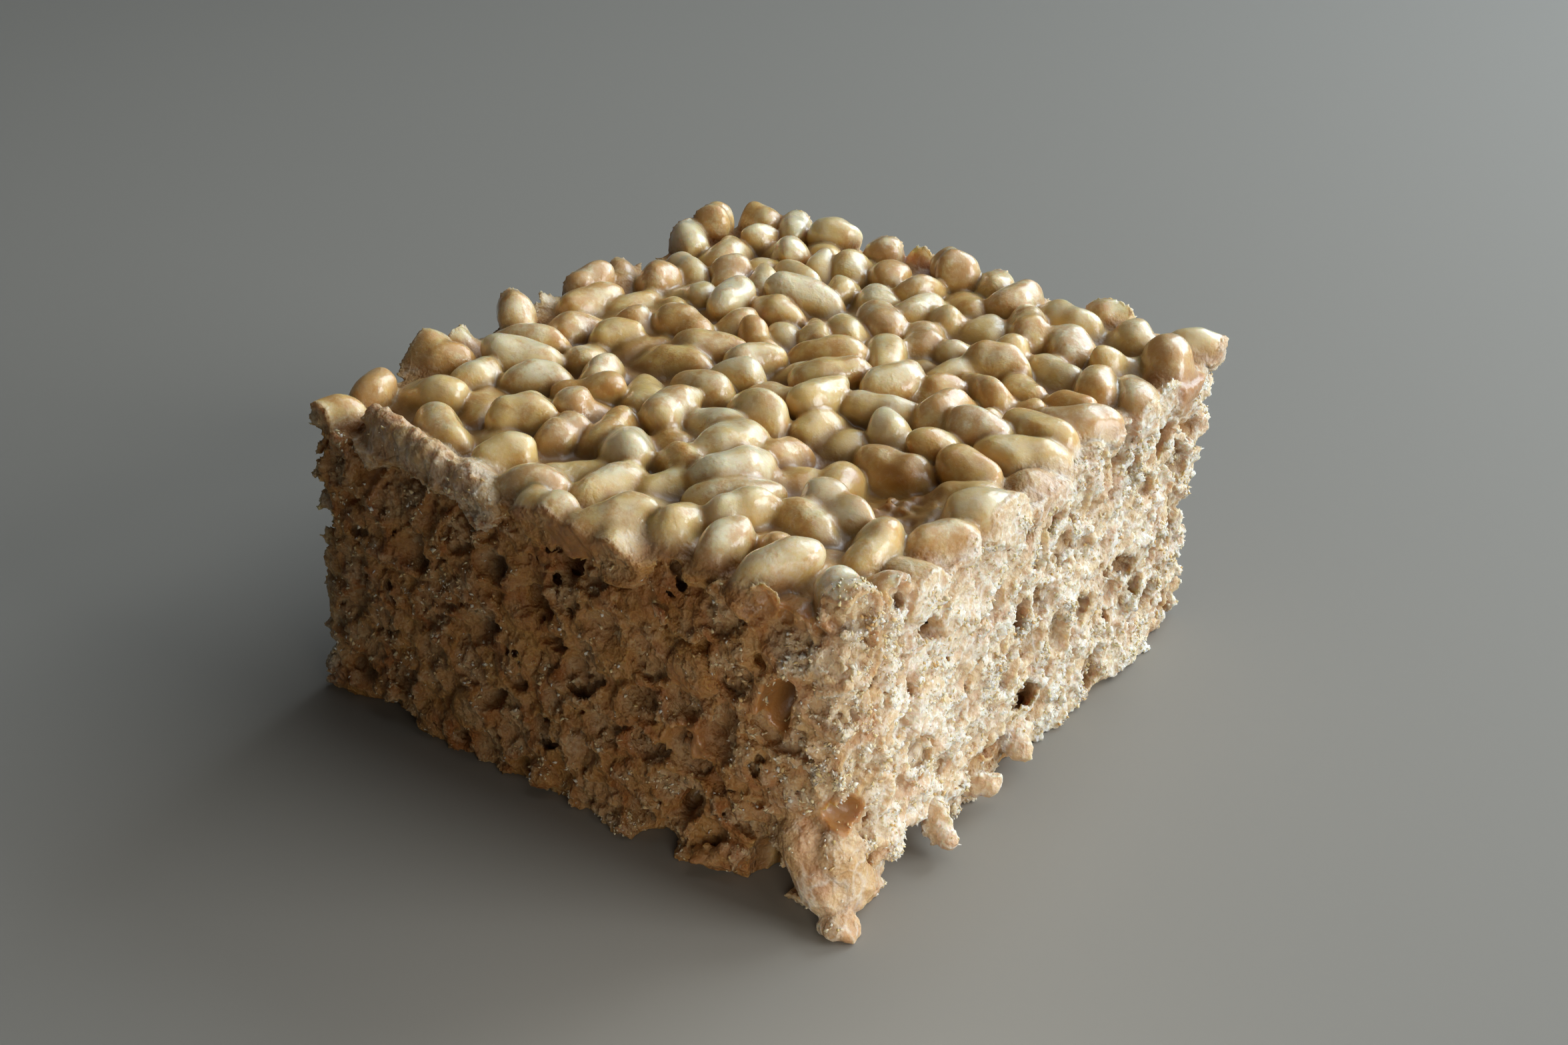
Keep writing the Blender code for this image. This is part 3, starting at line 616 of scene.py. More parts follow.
def add_lumps(field, packed, traits, low, made, coarse):
    """Adds the crumb of the foot and of the ridge on the rim, and the low kernels that poke out."""
    lumps = [(np.array(row[:3]), np.eye(3), np.array(row[3:])) for row in FOOT_CRUMB + CREST_CRUMB]
    made["shape"] = soft_min(made["shape"], ellipsoids(field, lumps) + coarse, 0.5)
    shape, nearest, owner = made["shape"], made["nearest"], made["owner"]
    for index in low:
        window = field.window(packed[0][index], packed[2][index] / 2 + LUMP_MARGIN)
        is_foot = index == len(TOP_KERNELS)
        found = kernel_distance(index, packed, traits, field.places(window), (0, 0, 0))
        found = found + (0.45 if is_foot else 1.2) * coarse[window] + (-0.2 if is_foot else 0.6)
        closer = found < shape[window]
        shape[window] = soft_min(shape[window], found, 0.6)
        nearest[window] = np.where(closer, found, nearest[window])
        owner[window] = np.where(closer, np.int16(index), owner[window])


def treat_field(field, packed, traits):
    """The treat's distance field, and what its surface is coloured by."""
    centres = packed[0]
    numbers = np.arange(len(centres))
    low = (numbers >= len(TOP_KERNELS)) & (numbers < len(TOP_KERNELS) + len(LOW_KERNELS))
    cut = outside_cuts(field.x, field.y, field.z).astype(np.float32)
    below_top = (top_at(field.x, field.y) - field.z).astype(np.float32)
    buried = ease(below_top, *BURIED)
    nearest, second, owner = stamp_kernels(field, packed, traits, kernels_to_stamp(centres, low), buried)
    unseen = np.maximum(ease(field.x, *LEFT_SIDE), ease(field.y, *BACK_SIDE))
    calm = CALM[0] * ease(field.x, *RIGHT_SIDE) + CALM[1] * unseen
    ragged = noises(field, RAGGED, SEED + 30) * (1 - calm)
    shape = joined_kernels(field, nearest, second, cut, below_top, ragged)
    rough_hollows, lined_hollows = side_hollows(field, ragged)
    shape = np.minimum(shape, lined_hollows - LINING)

    # The knife wanders, tears the foam out of some kernels, and leaves skins and grains standing.
    allowed = how_proud(centres, traits)[owner]
    is_cut = allowed == 0
    foam = ease(0.5 * ragged - nearest, 0.1, 0.55)
    sunk = traits["sunk"] * (1 - 0.7 * near_corner(centres[:, 0], centres[:, 1]))
    sunk = sunk.astype(np.float32)[owner] * is_cut * foam * (1 - 1.5 * calm)
    near_top = 0.35 + 0.65 * ease(below_top, 1.0, 4.0)
    near_top = np.maximum(near_top, 0.8 * is_cut)
    skins = RIDGE * np.exp(-((nearest / 0.32) ** 2)) * is_cut
    glue = 0.5 * ease(nearest, 0.35, 0.9)
    under_rim = np.exp(-(((below_top - 4.2) / 1.6) ** 2)) * (field.y < -DEPTH / 2 + 4)
    wander = noises(field, WANDER, SEED + 21) + sunk - skins + glue + UNDERCUT * under_rim
    knife = cut + SET_BACK + wander * near_top - allowed
    shell = (knife > -2.0) & (knife < 1.5) & (below_top > 0.6)
    grains = np.clip(scattered_balls(field, shell, GRAIN, (0.28, 0.5), SEED + 2), -0.2, 0.6)
    proud = (GRAIN_PROUD * (0.5 + 0.5 * foam) * grains - ragged) * near_top * (0.6 + 0.4 * is_cut)
    knife = knife - proud
    shape = np.maximum(shape, knife)

    # Open pits and hollows behind the cut.
    crumb = shell & (knife > -PIT_DEPTH) & (knife < 0.2) & is_cut & (lined_hollows > LINING)
    pits = scattered_balls(field, crumb, PIT, PIT_RADIUS, SEED + 3) + 0.45 * ragged * crumb - 0.9 * calm
    shape = np.maximum(shape, pits)
    shape = np.maximum(shape, -rough_hollows)

    made = dict(shape=shape, nearest=nearest, second=second, owner=owner, proud=proud)
    add_lumps(field, packed, traits, np.flatnonzero(low), made, 0.9 * ragged - 0.4 * grains)
    shape = np.maximum(made["shape"], -lined_hollows)
    shape = np.maximum(shape, -field.z)
    return made | dict(shape=shape, hollows=lined_hollows, knife=knife)


def surface_of(field, shape):
    """Corners and triangles of the field's zero surface, in millimetres."""
    shape[[0, -1]] = 1
    shape[:, [0, -1]] = 1
    shape[:, :, [0, -1]] = 1
    grid = openvdb.FloatGrid(1.0)
    grid.copyFromArray(np.ascontiguousarray(shape))
    points, quads = grid.convertToQuads(0.0)
    points = points.astype(np.float32) * STEP + field.low.astype(np.float32)
    faces = np.concatenate([quads[:, [0, 1, 2]], quads[:, [0, 2, 3]]]).astype(np.int64)
    return points, faces


def largest_body(points, faces):
    """Drops sealed bubbles and loose scraps."""
    group = np.arange(len(points))
    ends = np.concatenate([faces[:, [0, 1]], faces[:, [1, 2]]])
    while True:
        lower = np.minimum(group[ends[:, 0]], group[ends[:, 1]])
        after = group.copy()
        np.minimum.at(after, ends[:, 0], lower)
        np.minimum.at(after, ends[:, 1], lower)
        after = after[after]
        after = after[after]
        if (after == group).all():
            break
        group = after
    body = np.bincount(group[faces[:, 0]]).argmax()
    faces = faces[group[faces[:, 0]] == body]
    used, index = np.unique(faces, return_inverse=True)
    return points[used], index.reshape(-1, 3)


def make_mesh(name, points, faces):
    """A triangle mesh from arrays."""
    mesh = bpy.data.meshes.new(name)
    mesh.vertices.add(len(points))
    mesh.vertices.foreach_set("co", np.ascontiguousarray(points, np.float32).ravel())
    mesh.loops.add(faces.size)
    mesh.loops.foreach_set("vertex_index", np.ascontiguousarray(faces, np.int32).ravel())
    mesh.polygons.add(len(faces))
    mesh.polygons.foreach_set("loop_start", np.arange(0, faces.size, 3, dtype=np.int32))
    mesh.update(calc_edges=True)
    mesh.validate()
    return mesh


def put_in(name, data):
    """A new object in the scene."""
    obj = bpy.data.objects.new(name, data)
    bpy.context.scene.collection.objects.link(obj)
    return obj


def thinned(points, faces, most):
    """The mesh with its flatter parts given fewer triangles."""
    mesh = make_mesh("thinning", points, faces)
    obj = put_in("thinning", mesh)
    modifier = obj.modifiers.new("thin", "DECIMATE")
    modifier.ratio = min(1.0, most / len(faces))
    graph = bpy.context.evaluated_depsgraph_get()
    found = obj.evaluated_get(graph).to_mesh()
    found.calc_loop_triangles()
    points = np.empty(len(found.vertices) * 3, np.float32)
    found.vertices.foreach_get("co", points)
    faces = np.empty(len(found.loop_triangles) * 3, np.int32)
    found.loop_triangles.foreach_get("vertices", faces)
    bpy.data.objects.remove(obj)
    bpy.data.meshes.remove(mesh)
    return points.reshape(-1, 3), faces.reshape(-1, 3)


def vertex_normals(points, faces):
    """The surface's direction at each corner."""
    corners = points[faces]
    face_normals = np.cross(corners[:, 1] - corners[:, 0], corners[:, 2] - corners[:, 0])
    normals = np.zeros_like(points)
    for i in range(3):
        weights = np.repeat(face_normals[:, i], 3)
        normals[:, i] = np.bincount(faces.ravel(), weights=weights, minlength=len(points))
    return normals / np.maximum(np.linalg.norm(normals, axis=1, keepdims=True), 1e-9)


def side_of(points):
    """The side that each point is nearest to, as its number in PIECES."""
    x, y, z = points.T
    left, right, front, back = sides_at(x, y, z)
    away = (0.8 * depth_of(points), y - front, right - x, back - y, x - left, z + 0.6)
    return np.argmin(np.stack(away), axis=0)


def surface_layers(field, made, points, traits):
    """What each corner of the surface shows, as two colours of four shares each."""
    kept = ("nearest", "second", "proud", "knife", "hollows")
    nearest, second, proud, knife, hollows = [field.at(made[name], points) for name in kept]
    owner = field.nearest(made["owner"], points)
    x, y, z = points.T
    cut = outside_cuts(x, y, z)
    below = depth_of(points)
    corner = near_corner(x, y)
    stain = stain_share(x, y)
    crest = np.isin(owner, CREST_KERNELS)
    side = ease(below, 0.8, 3.0) * ease(cut, -4.5, -2.2)
    film = field.at(field.noise(FILM_SPACING, SEED + 60), points) + 0.5 * ease(below, 9.0, 3.0)
    lining = np.maximum(1 - ease(hollows, 0.12, 0.4), 0.85 * ease(film, 0.75, 1.15) * side)
    foam = ease(-nearest, 0.1, 0.42) * (1 - lining)
    crease = 1 - ease(second - nearest, 0.1, 1.0)
    glue = np.maximum(ease(nearest, 0.1, 0.7), 0.8 * crease * (1 - side))
    glue = np.maximum(glue, stain)
    # depth: painted shade, growing behind the cut on the sides and further below the top between the
    # kernels; in the sticky brown hollow it is that hollow's own dark colour
    recess = np.clip(-cut - 0.6, 0, 2.2) / 2.2 * side
    depth = np.maximum(recess, ease(below, 0.7, 3.4) * (1 - side))
    depth = np.maximum(depth, 0.8 * stain)
    on_cut = 1 - ease(np.abs(knife), 0.2, 0.5)
    side = np.maximum(side, np.maximum(0.9 * on_cut, 0.75 * crest))
    frosted = ease(proud, -0.25, 0.6) * side + 0.7 * corner**0.45 * (1 - side)
    frosted = np.maximum(frosted, 0.4 * crest)
    # pale: painted light, 1 on the right side, the foot and the near corner, where the crumb is painted as
    # lit, half on the torn crest, which is also pale of itself, and on the two unseen sides, and 0 on the
    # front, which gets painted shade
    pale = ease(x, 25.5, 27.0) * ease(y, -30.0, -22.0)
    pale = np.maximum(pale, np.exp(-((z / 7) ** 2)) * corner**0.7)
    pale = np.maximum(pale, np.maximum(0.5 * crest, 0.6 * corner))
    pale = np.maximum(pale, 0.5 * np.maximum(ease(x, -23.5, -26.5), ease(y, *BACK_SIDE)))
    tint, toast = [np.where(owner < 0, 0.5, traits[name][owner]) for name in ("tint", "toast")]
    # On the kernels the tint is their own; on the cut it carries the painted light share.
    tint = tint * (1 - side) + pale * side
    layers = np.stack([foam, frosted, glue, lining], axis=1)
    tones = np.stack([tint, toast, depth, side], axis=1)
    return layers.astype(np.float32), tones.astype(np.float32)


def roughened(field, made, points, normals, layers, tones):
    """The crumb's finest relief: small shifts of the corners, and a few that stand out as pale shreds."""
    rng = np.random.default_rng(SEED + 8)
    count = len(points)
    opened = 1 - ease(np.abs(field.at(made["knife"], points)), 0.3, 0.9)
    crumb = np.maximum(tones[:, 3], 0.35 * near_corner(points[:, 0], points[:, 1]))
    crumb = crumb * (1 - layers[:, 3]) * (0.35 + 0.65 * opened)
    spikes = rng.uniform(size=count) ** 6 * (0.4 + 0.6 * layers[:, 1])
    shift = crumb * (JITTER * rng.normal(size=count) + SPIKE * spikes)
    points = points + normals * shift[:, None]
    points[:, 2] = np.maximum(points[:, 2], 0)
    layers[:, 1] = np.clip(layers[:, 1] + 1.2 * crumb * spikes, 0, 1)
    return points.astype(np.float32)


def add_colours(mesh, name, values):
    """Keeps four numbers at each corner of a mesh."""
    attribute = mesh.color_attributes.new(name, "FLOAT_COLOR", "POINT")
    attribute.data.foreach_set("color", np.ascontiguousarray(values, np.float32).ravel())


def hand_in(name, mesh, material):
    """One piece of the treat, over its solid."""
    mesh.materials.append(material)
    obj = put_in(name, mesh)
    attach(obj, "root")
    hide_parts("treat")


def make_piece(name, points, faces, normals, layers, tones, material):
    """Some of the surface's faces, in metres and in their place."""
    used, index = np.unique(faces, return_inverse=True)
    place = points[used] + np.array((*SLAB_AT, 0))
    mesh = make_mesh(name, place * MM, index.reshape(-1, 3))
    mesh.shade_smooth()
    mesh.normals_split_custom_set_from_vertices(normals[used].tolist())
    add_colours(mesh, "layers", layers[used])
    add_colours(mesh, "tones", tones[used])
    hand_in(name, mesh, material)


def flake_shares(field, points, normals, proud):
    """How thickly flakes cling at each corner of the surface, mostly on what stands up."""
    x, y, z = points.T
    cut = outside_cuts(x, y, z)
    on_cut = ease(depth_of(points), 0.8, 2.6) * ease(cut, -1.7, -0.5)
    corner = near_corner(x, y)
    on_cut = np.maximum(on_cut, 0.7 * corner * ease(cut, -4.0, -1.0))
    on_right = ease(x - sides_at(x, y, z)[1], -1.6, -0.4)
    edge = np.exp(-((z / 1.6) ** 2))
    clumps = ease(field.at(field.noise(1.6, SEED + 50), points), -0.5, 0.8)
    outward = np.clip(normals[:, 0] * 0.3 + normals[:, 2] * 0.5 + 0.7, 0.1, 1)
    fringe = ease(proud, 0.3, 0.9)
    return on_cut * outward * fringe * (0.15 + clumps) * (0.5 + 1.2 * corner + 0.8 * on_right + 0.5 * edge)


def make_flakes(field, points, faces, normals, layers, tones, material):
    """Torn flakes and grains, half sunk in the cut crumb, as one piece."""
    rng = np.random.default_rng(SEED + 7)
    corners = points[faces]
    area = np.linalg.norm(np.cross(corners[:, 1] - corners[:, 0], corners[:, 2] - corners[:, 0]), axis=1)
    chance = area * flake_shares(field, points, normals, layers[:, 1])[faces].mean(1)
    chosen = rng.choice(len(faces), FLAKES, p=chance / chance.sum())
    weights = rng.dirichlet((1, 1, 1), FLAKES)[..., None]
    middles = (corners[chosen] * weights).sum(1)
    under = faces[chosen, 0]
    outward = normals[under]
    size = FLAKE_SIZE[0] + (FLAKE_SIZE[1] - FLAKE_SIZE[0]) * rng.uniform(size=FLAKES) ** 1.8
    along = unit(rng.normal(size=(FLAKES, 3)) + 0.6 * outward)
    across = unit(np.cross(along, rng.normal(size=(FLAKES, 3))))
    through = np.cross(along, across)
    thin = np.stack([np.ones(FLAKES), rng.uniform(0.45, 0.9, FLAKES), rng.uniform(0.25, 0.7, FLAKES)], 1)
    half = size[:, None] * thin
    frames = np.stack([along, across, through], 1) * half[..., None]
    tips = np.array(FLAKE_CORNERS, float)[None] * rng.uniform(0.6, 1.25, (FLAKES, 6, 1))
    tips = tips + rng.normal(size=(FLAKES, 6, 3)) * 0.22
    shapes = np.einsum("fvk,fkx->fvx", tips, frames) + (middles + outward * size[:, None] * 0.1)[:, None]
    shapes[..., 2] = np.maximum(shapes[..., 2], 0.01)
    place = shapes.reshape(-1, 3) + np.array((*SLAB_AT, 0))
    flake_faces = np.array(FLAKE_FACES)[None] + 6 * np.arange(FLAKES)[:, None, None]
    mesh = make_mesh("flakes", place * MM, flake_faces.reshape(-1, 3))
    white = np.clip(rng.normal(0.42, 0.28, FLAKES) + 0.5 * (size - 0.25), 0, 1)
    # The third number is the painted shade of the surface under each flake.
    own = np.stack([white, rng.uniform(size=FLAKES), tones[under, 2], layers[under, 1]], 1)
    mesh.shade_smooth()
    add_colours(mesh, "tones", np.repeat(own, 6, axis=0))
    hand_in("flakes", mesh, material)


class Nodes:
    """Short calls for one material's nodes."""

    def __init__(self, name):
        self.material = bpy.data.materials.new(name)
        self.material.use_nodes = True
        self.tree = self.material.node_tree
        self.shader = self.tree.nodes["Principled BSDF"]
        self.place = self.new("TexCoord").outputs["Object"]

    def link(self, value, socket):
        """Sets a socket to a number or colour, or links it to another node's output."""
        if hasattr(value, "links"):
            self.tree.links.new(value, socket)
        elif isinstance(value, tuple) and len(value) == 3 and socket.type == "RGBA":
            socket.default_value = (*value, 1)
        else:
            socket.default_value = value

    def new(self, kind, **inputs):
        """A new node, with some of its inputs set by name."""
        node = self.tree.nodes.new("ShaderNode" + kind)
        for name, value in inputs.items():
            self.link(value, node.inputs[name])
        return node

    def shares(self, name):
        """The four numbers kept at the corners under a name."""
        attribute = self.new("Attribute")
        attribute.attribute_name = name
        parts = self.new("SeparateColor", Color=attribute.outputs["Color"])
        return *parts.outputs, attribute.outputs["Alpha"]

    def noise(self, size, detail=2.0, rough=0.5, output="Fac"):
        """Noise with features of about a size in millimetres."""
        scale = 1 / (size * MM)
        node = self.new("TexNoise", Vector=self.place, Scale=scale, Detail=detail, Roughness=rough)
        return node.outputs[output]

    def patches(self, size, detail, rough, low, high, least=0.0, most=1.0):
        """Noise made into patches with soft edges."""
        return self.ramp(self.noise(size, detail, rough), low, high, least, most)

    def cells(self, feature, size, shaken):
        """Distances in cells of about a size in millimetres, their outlines shaken out of line."""
        move = self.new("VectorMath")
        move.operation = "MULTIPLY_ADD"
        shake = self.noise(0.7 * size, output="Color"), (shaken * MM,) * 3, self.place
        for value, socket in zip(shake, move.inputs):
            self.link(value, socket)
        node = self.new("TexVoronoi", Vector=move.outputs[0], Scale=1 / (size * MM))
        node.feature = feature
        return node.outputs["Distance"]

    def granules(self, size, shaken):
        """Rounded granules of about a size in millimetres, 1 on their tops."""
        return self.rest(self.cells("F1", size, shaken))

    def fringes(self, size, shaken):
        """Torn walls between cells of about a size in millimetres, 1 on the walls."""
        return self.ramp(self.cells("DISTANCE_TO_EDGE", size, shaken), 0.0, FRINGE_WIDTH, 1.0, 0.0)

    def math(self, operation, first, second, third=0.0):
        """One sum of up to three numbers."""
        node = self.new("Math")
        node.operation = operation
        for value, socket in zip((first, second, third), node.inputs):
            self.link(value, socket)
        return node.outputs[0]

    def times(self, first, second):
        """Two numbers multiplied."""
        return self.math("MULTIPLY", first, second)

    def plus(self, part, share, other):
        """A share of one number added to another number."""
        return self.math("MULTIPLY_ADD", part, share, other)

    def rest(self, share):
        """What a share leaves of 1."""
        return self.math("SUBTRACT", 1.0, share)

    def ramp(self, value, low, high, to_low=0.0, to_high=1.0):
        """The value moved from one range to another, smoothly and within its ends."""
        node = self.new("MapRange")
        node.interpolation_type = "SMOOTHSTEP"
        for number, socket in zip((value, low, high, to_low, to_high), node.inputs):
            self.link(number, socket)
        return node.outputs[0]

    def mix(self, share, first, second, blend="MIX"):
        """A colour between two."""
        node = self.new("Mix", Factor=share)
        node.data_type = "RGBA"
        node.blend_type = blend
        self.link(first, node.inputs[6])
        self.link(second, node.inputs[7])
        return node.outputs[2]

    def bump(self, height, depth, **before):
        """A bump of a depth in millimetres, over an earlier one if there is one."""
        return self.new("Bump", Distance=depth * MM, Height=height, **before).outputs[0]

    def set(self, **values):
        """Sets the shader's own sockets, by name with _ for a space."""
        for name, value in values.items():
            self.link(value, self.shader.inputs[name.replace("_", " ")])


# Colours, in linear light.
CREAM = (0.80, 0.69, 0.44)
GOLD = (0.73, 0.50, 0.175)
TOASTED = (0.58, 0.28, 0.065)
FROST = (0.90, 0.85, 0.74)
CARAMEL = (0.46, 0.25, 0.055)
# Painted shade: dark caramel deep between the kernels and behind the cut, also the sticky brown hollow's
# own colour, and amber in the recesses of the sides painted as lit.
DARK_CARAMEL_AND_PAINTED_SHADE = (0.15, 0.062, 0.013)
PAINTED_AMBER_SHADE = (0.58, 0.29, 0.09)
SHADED = (0.60, 0.475, 0.36)  # painted shade: what the cut crumb is multiplied by where it is not painted as lit
# Painted shade over the crumb's own orange, in the hollows between its granules.
CRUMB_DEEP = (0.42, 0.17, 0.042)
CRUMB_TAN = (0.72, 0.46, 0.17)
CRUMB_ORANGE = (0.56, 0.26, 0.065)
CRUMB_CREAM = (0.78, 0.61, 0.36)
CRUMB_WHITE = (0.87, 0.78, 0.62)
CRUMB_PALE = (0.92, 0.87, 0.76)
LINED = (0.42, 0.195, 0.055)
FLAKE_WHITE = (0.88, 0.82, 0.70)
FLAKE_GOLD = (0.80, 0.60, 0.30)


# The materials' finest parts, in millimetres: spacings with how far they are shaken, and reliefs.
GRANULES = (0.6, 0.45)
FINE_GRANULES = (0.24, 0.2)
FRINGES = (1.7, 1.1)
FRINGE_WIDTH = 0.17  # a share of their spacing
CRUMB_RELIEF = 0.24
SKIN_RELIEF = 0.08
GLAZE_RELIEF = 0.09
FLAKE_RELIEF = 0.03


def kernel_colour(nodes, tint, toast, depth, frosted):
    """A kernel: cream on its back, golden lower down its flanks, where painted shade deepens it, toasted in
    patches, frosted where torn.
    """
    # depth adds painted shade, golden further down the flanks.
    golden = nodes.plus(tint, 0.4, nodes.plus(depth, 0.8, nodes.noise(2.0, 3.0, 0.5)))
    kernel = nodes.mix(nodes.ramp(golden, 0.4, 1.0), CREAM, GOLD)
    browned = nodes.plus(toast, 0.3, nodes.noise(1.6, 5.0, 0.65))
    kernel = nodes.mix(nodes.ramp(browned, 0.57, 0.82, 0.0, 0.7), kernel, TOASTED)
    kernel = nodes.mix(nodes.patches(0.45, 3.0, 0.7, 0.5, 0.8, 0.0, 0.5), kernel, CREAM)
    broken = nodes.patches(0.9, 6.0, 0.75, 0.42, 0.6)
    return nodes.mix(nodes.times(frosted, broken), kernel, FROST)


def crumb_colour(nodes, foam, proud, fluff, fringe, paleness_and_painted_light):
    """The cut crumb: orange in its depths, with painted shade there, tan and cream above, and white on the
    grains that stand up; paler where it is painted as lit, and darkened by painted shade elsewhere.
    """
    crumb = nodes.mix(nodes.patches(3.6, 3.0, 0.55, 0.42, 0.62), CRUMB_TAN, CRUMB_ORANGE)
    creamy = nodes.times(nodes.patches(2.0, 3.0, 0.55, 0.42, 0.62), 0.3)
    crumb = nodes.mix(nodes.plus(foam, 0.65, creamy), crumb, CRUMB_CREAM)
    # Painted shade in the hollows between the granules.
    crumb = nodes.mix(nodes.ramp(fluff, 0.35, 0.62, 0.3, 0.0), crumb, CRUMB_DEEP)
    frost = nodes.plus(proud, 0.75, fluff)
    crumb = nodes.mix(nodes.ramp(frost, 0.85, 1.45, 0.0, 0.6), crumb, CRUMB_WHITE)
    torn = nodes.times(fringe, nodes.patches(2.5, 3.0, 0.6, 0.42, 0.58))
    # The torn white fringes and the fluffy white are stronger where the crumb is painted as lit.
    torn = nodes.times(torn, nodes.ramp(paleness_and_painted_light, 0.0, 1.0, 0.1, 0.75))
    crumb = nodes.mix(torn, crumb, CRUMB_PALE)
    fluffy = nodes.times(paleness_and_painted_light, nodes.ramp(frost, 0.6, 1.3, 0.3, 0.85))
    crumb = nodes.mix(fluffy, crumb, CRUMB_PALE)
    # Painted shade on the crumb that is not painted as lit.
    return nodes.mix(nodes.rest(paleness_and_painted_light), crumb, SHADED, "MULTIPLY")


def treat_material():
    """Toasted kernels under sticky glaze, and where the knife has been, granular crumb."""
    nodes = Nodes("toasted_cereal")
    foam, proud, glue, lining = nodes.shares("layers")
    # tint is the kernels' own, and on the cut the painted light share; depth is painted shade, and the
    # brown hollow's own colour.
    tint, toast, depth, side = nodes.shares("tones")
    coarse = nodes.times(nodes.granules(*GRANULES), 0.65)
    fluff = nodes.plus(nodes.granules(*FINE_GRANULES), 0.35, coarse)
    fringe = nodes.fringes(*FRINGES)
    kernel = kernel_colour(nodes, tint, toast, depth, proud)
    crumb = crumb_colour(nodes, foam, proud, fluff, fringe, tint)
    colour = nodes.mix(side, kernel, crumb)
    sticky = nodes.mix(nodes.patches(3.2, 2.0, 0.5, 0.4, 0.7), CARAMEL, LINED)
    colour = nodes.mix(nodes.times(glue, nodes.ramp(side, 0.0, 1.0, 0.85, 0.3)), colour, sticky)
    colour = nodes.mix(nodes.times(lining, 0.9), colour, LINED)
    # Painted shade deep down and in the sides' recesses, amber where the side is painted as lit; in the
    # brown hollow it is its own colour.
    deep = nodes.mix(nodes.times(side, tint), DARK_CARAMEL_AND_PAINTED_SHADE, PAINTED_AMBER_SHADE)
    colour = nodes.mix(nodes.ramp(depth, 0.2, 1.0, 0.0, 0.8), colour, deep)

    wet = nodes.times(nodes.rest(side), nodes.patches(2.2, 2.0, 0.5, 0.32, 0.5, 0.7, 1.0))
    wet = nodes.math("MAXIMUM", wet, nodes.times(lining, 0.8))
    dry = nodes.times(nodes.rest(wet), nodes.ramp(tint, 0.0, 1.0, 1.0, 0.75))
    granular = nodes.bump(nodes.times(nodes.plus(fringe, 0.4, fluff), dry), CRUMB_RELIEF)
    nodes.set(
        Base_Color=colour,
        Roughness=nodes.ramp(wet, 0.0, 1.0, 0.62, 0.45),
        Normal=nodes.bump(nodes.noise(1.1, 5.0, 0.6), SKIN_RELIEF, Normal=granular),
        Coat_Weight=nodes.times(wet, nodes.ramp(depth, 0.2, 0.7, 1.0, 0.25)),
        Coat_Roughness=0.07,
        Coat_Normal=nodes.bump(nodes.noise(0.9, 4.0, 0.6), GLAZE_RELIEF),
        Subsurface_Weight=nodes.ramp(wet, 0.0, 1.0, 0.5, 0.9),
        Subsurface_Radius=(1.0, 0.66, 0.32),
        Subsurface_Scale=0.0015,
    )
    return nodes.material


def flake_material():
    """Thin torn flakes, from white to golden and orange, and caramel as painted shade where they sit deep.
    """
    nodes = Nodes("torn_flakes")
    white, shade, depth, _ = nodes.shares("tones")
    colour = nodes.mix(nodes.ramp(shade, 0.3, 0.9), CRUMB_CREAM, FLAKE_GOLD)
    colour = nodes.mix(nodes.patches(3.0, 4.0, 0.6, 0.42, 0.68, 0.0, 0.7), colour, CRUMB_ORANGE)
    colour = nodes.mix(nodes.ramp(white, 0.35, 0.9), colour, FLAKE_WHITE)
    # Painted shade: caramel where the flakes sit deep.
    colour = nodes.mix(nodes.ramp(depth, 0.15, 1.0, 0.0, 0.8), colour, CARAMEL)
    nodes.set(
        Base_Color=colour,
        Roughness=0.6,
        Normal=nodes.bump(nodes.noise(0.12), FLAKE_RELIEF),
        Subsurface_Weight=0.5,
        Subsurface_Radius=(1.0, 0.7, 0.45),
        Subsurface_Scale=0.0006,
    )
    return nodes.material


# The photograph's camera: its lens, where it stands, and which ways are right and up in its picture.
LENS = 45.53
CAMERA_AT = (88.124, -125.726, 94.844)
CAMERA_RIGHT = (0.81308, 0.58186, 0.01834)
CAMERA_UP = (-0.28616, 0.37205, 0.88300)


def make_camera():
    """The photograph's view, in the part's own frame."""
    data = bpy.data.cameras.new("camera")
    data.sensor_width = 36
    data.lens = LENS
    data.clip_start = 0.005
    camera = put_in("camera", data)
    right, up = Vector(CAMERA_RIGHT), Vector(CAMERA_UP)
    back = right.cross(up).normalized()
    turn = Matrix((right.normalized(), up.normalized(), back)).transposed().to_4x4()
    camera.matrix_world = Matrix.Translation(Vector(CAMERA_AT) * MM) @ turn
    bpy.context.scene.camera = camera


# The floor's half width and its level in metres, and its colour.
FLOOR_HALF = 1.6
FLOOR_LEVEL = -0.00005
FLOOR_COLOUR = (0.27, 0.25, 0.215)


def make_floor():
    """A plain pale floor."""
    mesh = bpy.data.meshes.new("floor")
    turns = ((-1, -1), (1, -1), (1, 1), (-1, 1))
    mesh.from_pydata([(x * FLOOR_HALF, y * FLOOR_HALF, FLOOR_LEVEL) for x, y in turns], [], [(0, 1, 2, 3)])
    nodes = Nodes("pale_floor")
    nodes.set(Base_Color=FLOOR_COLOUR, Roughness=0.75, Specular_IOR_Level=0.2)
    mesh.materials.append(nodes.material)
    floor = put_in("floor", mesh)


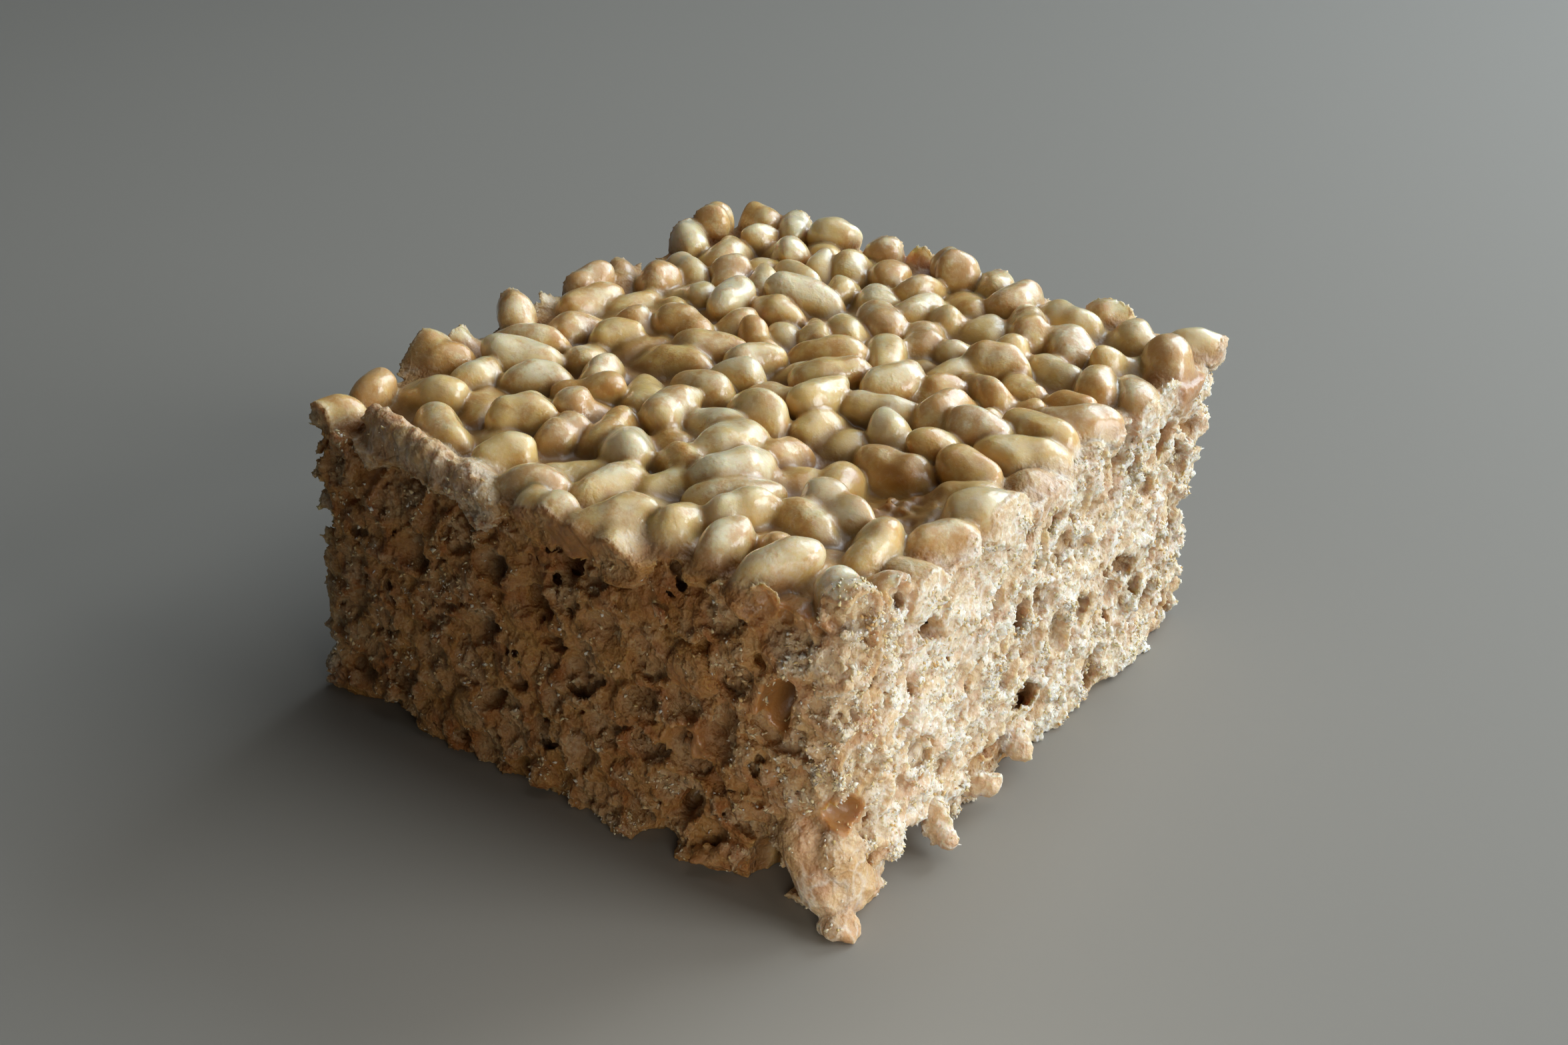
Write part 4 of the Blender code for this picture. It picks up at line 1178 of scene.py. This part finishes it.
# Square lamps: where they stand, how far off and how wide in metres, watts, colour, and the point in
# millimetres that they face.
MIDDLE = (0, 0, 0)
NEAR_CORNER = (29, -30, 6)
LAMPS = {
    "key": ((0.86, 0.25, 0.32), 0.5, 0.28, 2.0, (0.89, 0.95, 1.0), MIDDLE),
    "glint": ((0.45, 0.75, 0.6), 0.5, 0.11, 0.45, (0.86, 0.94, 1.0), MIDDLE),
    "sky": ((0.3, 0.4, 0.9), 0.6, 0.7, 1.85, (0.86, 0.93, 1.0), MIDDLE),
    "rim": ((0.1, 0.9, 0.5), 0.8, 0.5, 3.4, (0.72, 0.86, 1.0), MIDDLE),
    "fill": ((-0.6, -0.7, 0.5), 1.2, 0.9, 0.02, (1.0, 0.80, 0.58), MIDDLE),
    "bounce": ((0.55, -0.8, 0.25), 0.045, 0.03, 0.011, (1.0, 0.92, 0.80), NEAR_CORNER),
}
WORLD_COLOUR = (0.80, 0.86, 0.93, 1)
WORLD_STRENGTH = 0.03


def make_lights():
    """Window-like light from the right and behind, and a little from all round."""
    bpy.context.scene.view_settings.view_transform = "Standard"
    for name, (towards, distance, size, watts, colour, at) in LAMPS.items():
        data = bpy.data.lights.new(name, "AREA")
        data.size = size
        data.energy = watts
        data.color = colour
        lamp = put_in(name, data)
        direction = Vector(towards).normalized()
        lamp.location = direction * distance + Vector(at) * MM
        lamp.rotation_euler = direction.to_track_quat("Z", "Y").to_euler()
    world = bpy.data.worlds.new("world")
    bpy.context.scene.world = world
    world.use_nodes = True
    background = world.node_tree.nodes["Background"]
    background.inputs["Color"].default_value = WORLD_COLOUR
    background.inputs["Strength"].default_value = WORLD_STRENGTH


PIECES = ("kernels_top", "crumb_front", "crumb_right", "crumb_back", "crumb_left", "base")


def sides_of_faces(points, faces, owner, centres):
    """The side that each face belongs to: a kernel's faces all go with its middle."""
    sides = np.where(owner < 0, side_of(points), side_of(centres)[owner])[faces]
    return np.where(sides[:, 1] == sides[:, 2], sides[:, 1], sides[:, 0])


def make_treat():
    """The treat's surface, in one piece for each side, and its flakes."""
    centres, axes, lengths, radii = pack_kernels()
    packed = centres, axes, lengths * PLUMP[0], radii * PLUMP[1]
    traits = kernel_traits(len(centres))
    field = Field()
    made = treat_field(field, packed, traits)
    points, faces = surface_of(field, made["shape"])
    points, faces = largest_body(points, faces)
    points, faces = thinned(points, faces, MOST_TRIANGLES)
    normals = vertex_normals(points, faces)
    layers, tones = surface_layers(field, made, points, traits)
    owner = field.nearest(made["owner"], points)
    points = roughened(field, made, points, normals, layers, tones)
    normals = vertex_normals(points, faces)
    face_sides = sides_of_faces(points, faces, owner, centres)
    material = treat_material()
    for number, name in enumerate(PIECES):
        chosen = faces[face_sides == number]
        print(name, len(chosen), "triangles")
        make_piece(name, points, chosen, normals, layers, tones, material)
    make_flakes(field, points, faces, normals, layers, tones, flake_material())


def main():
    make_camera()
    make_floor()
    make_lights()
    make_treat()


main()
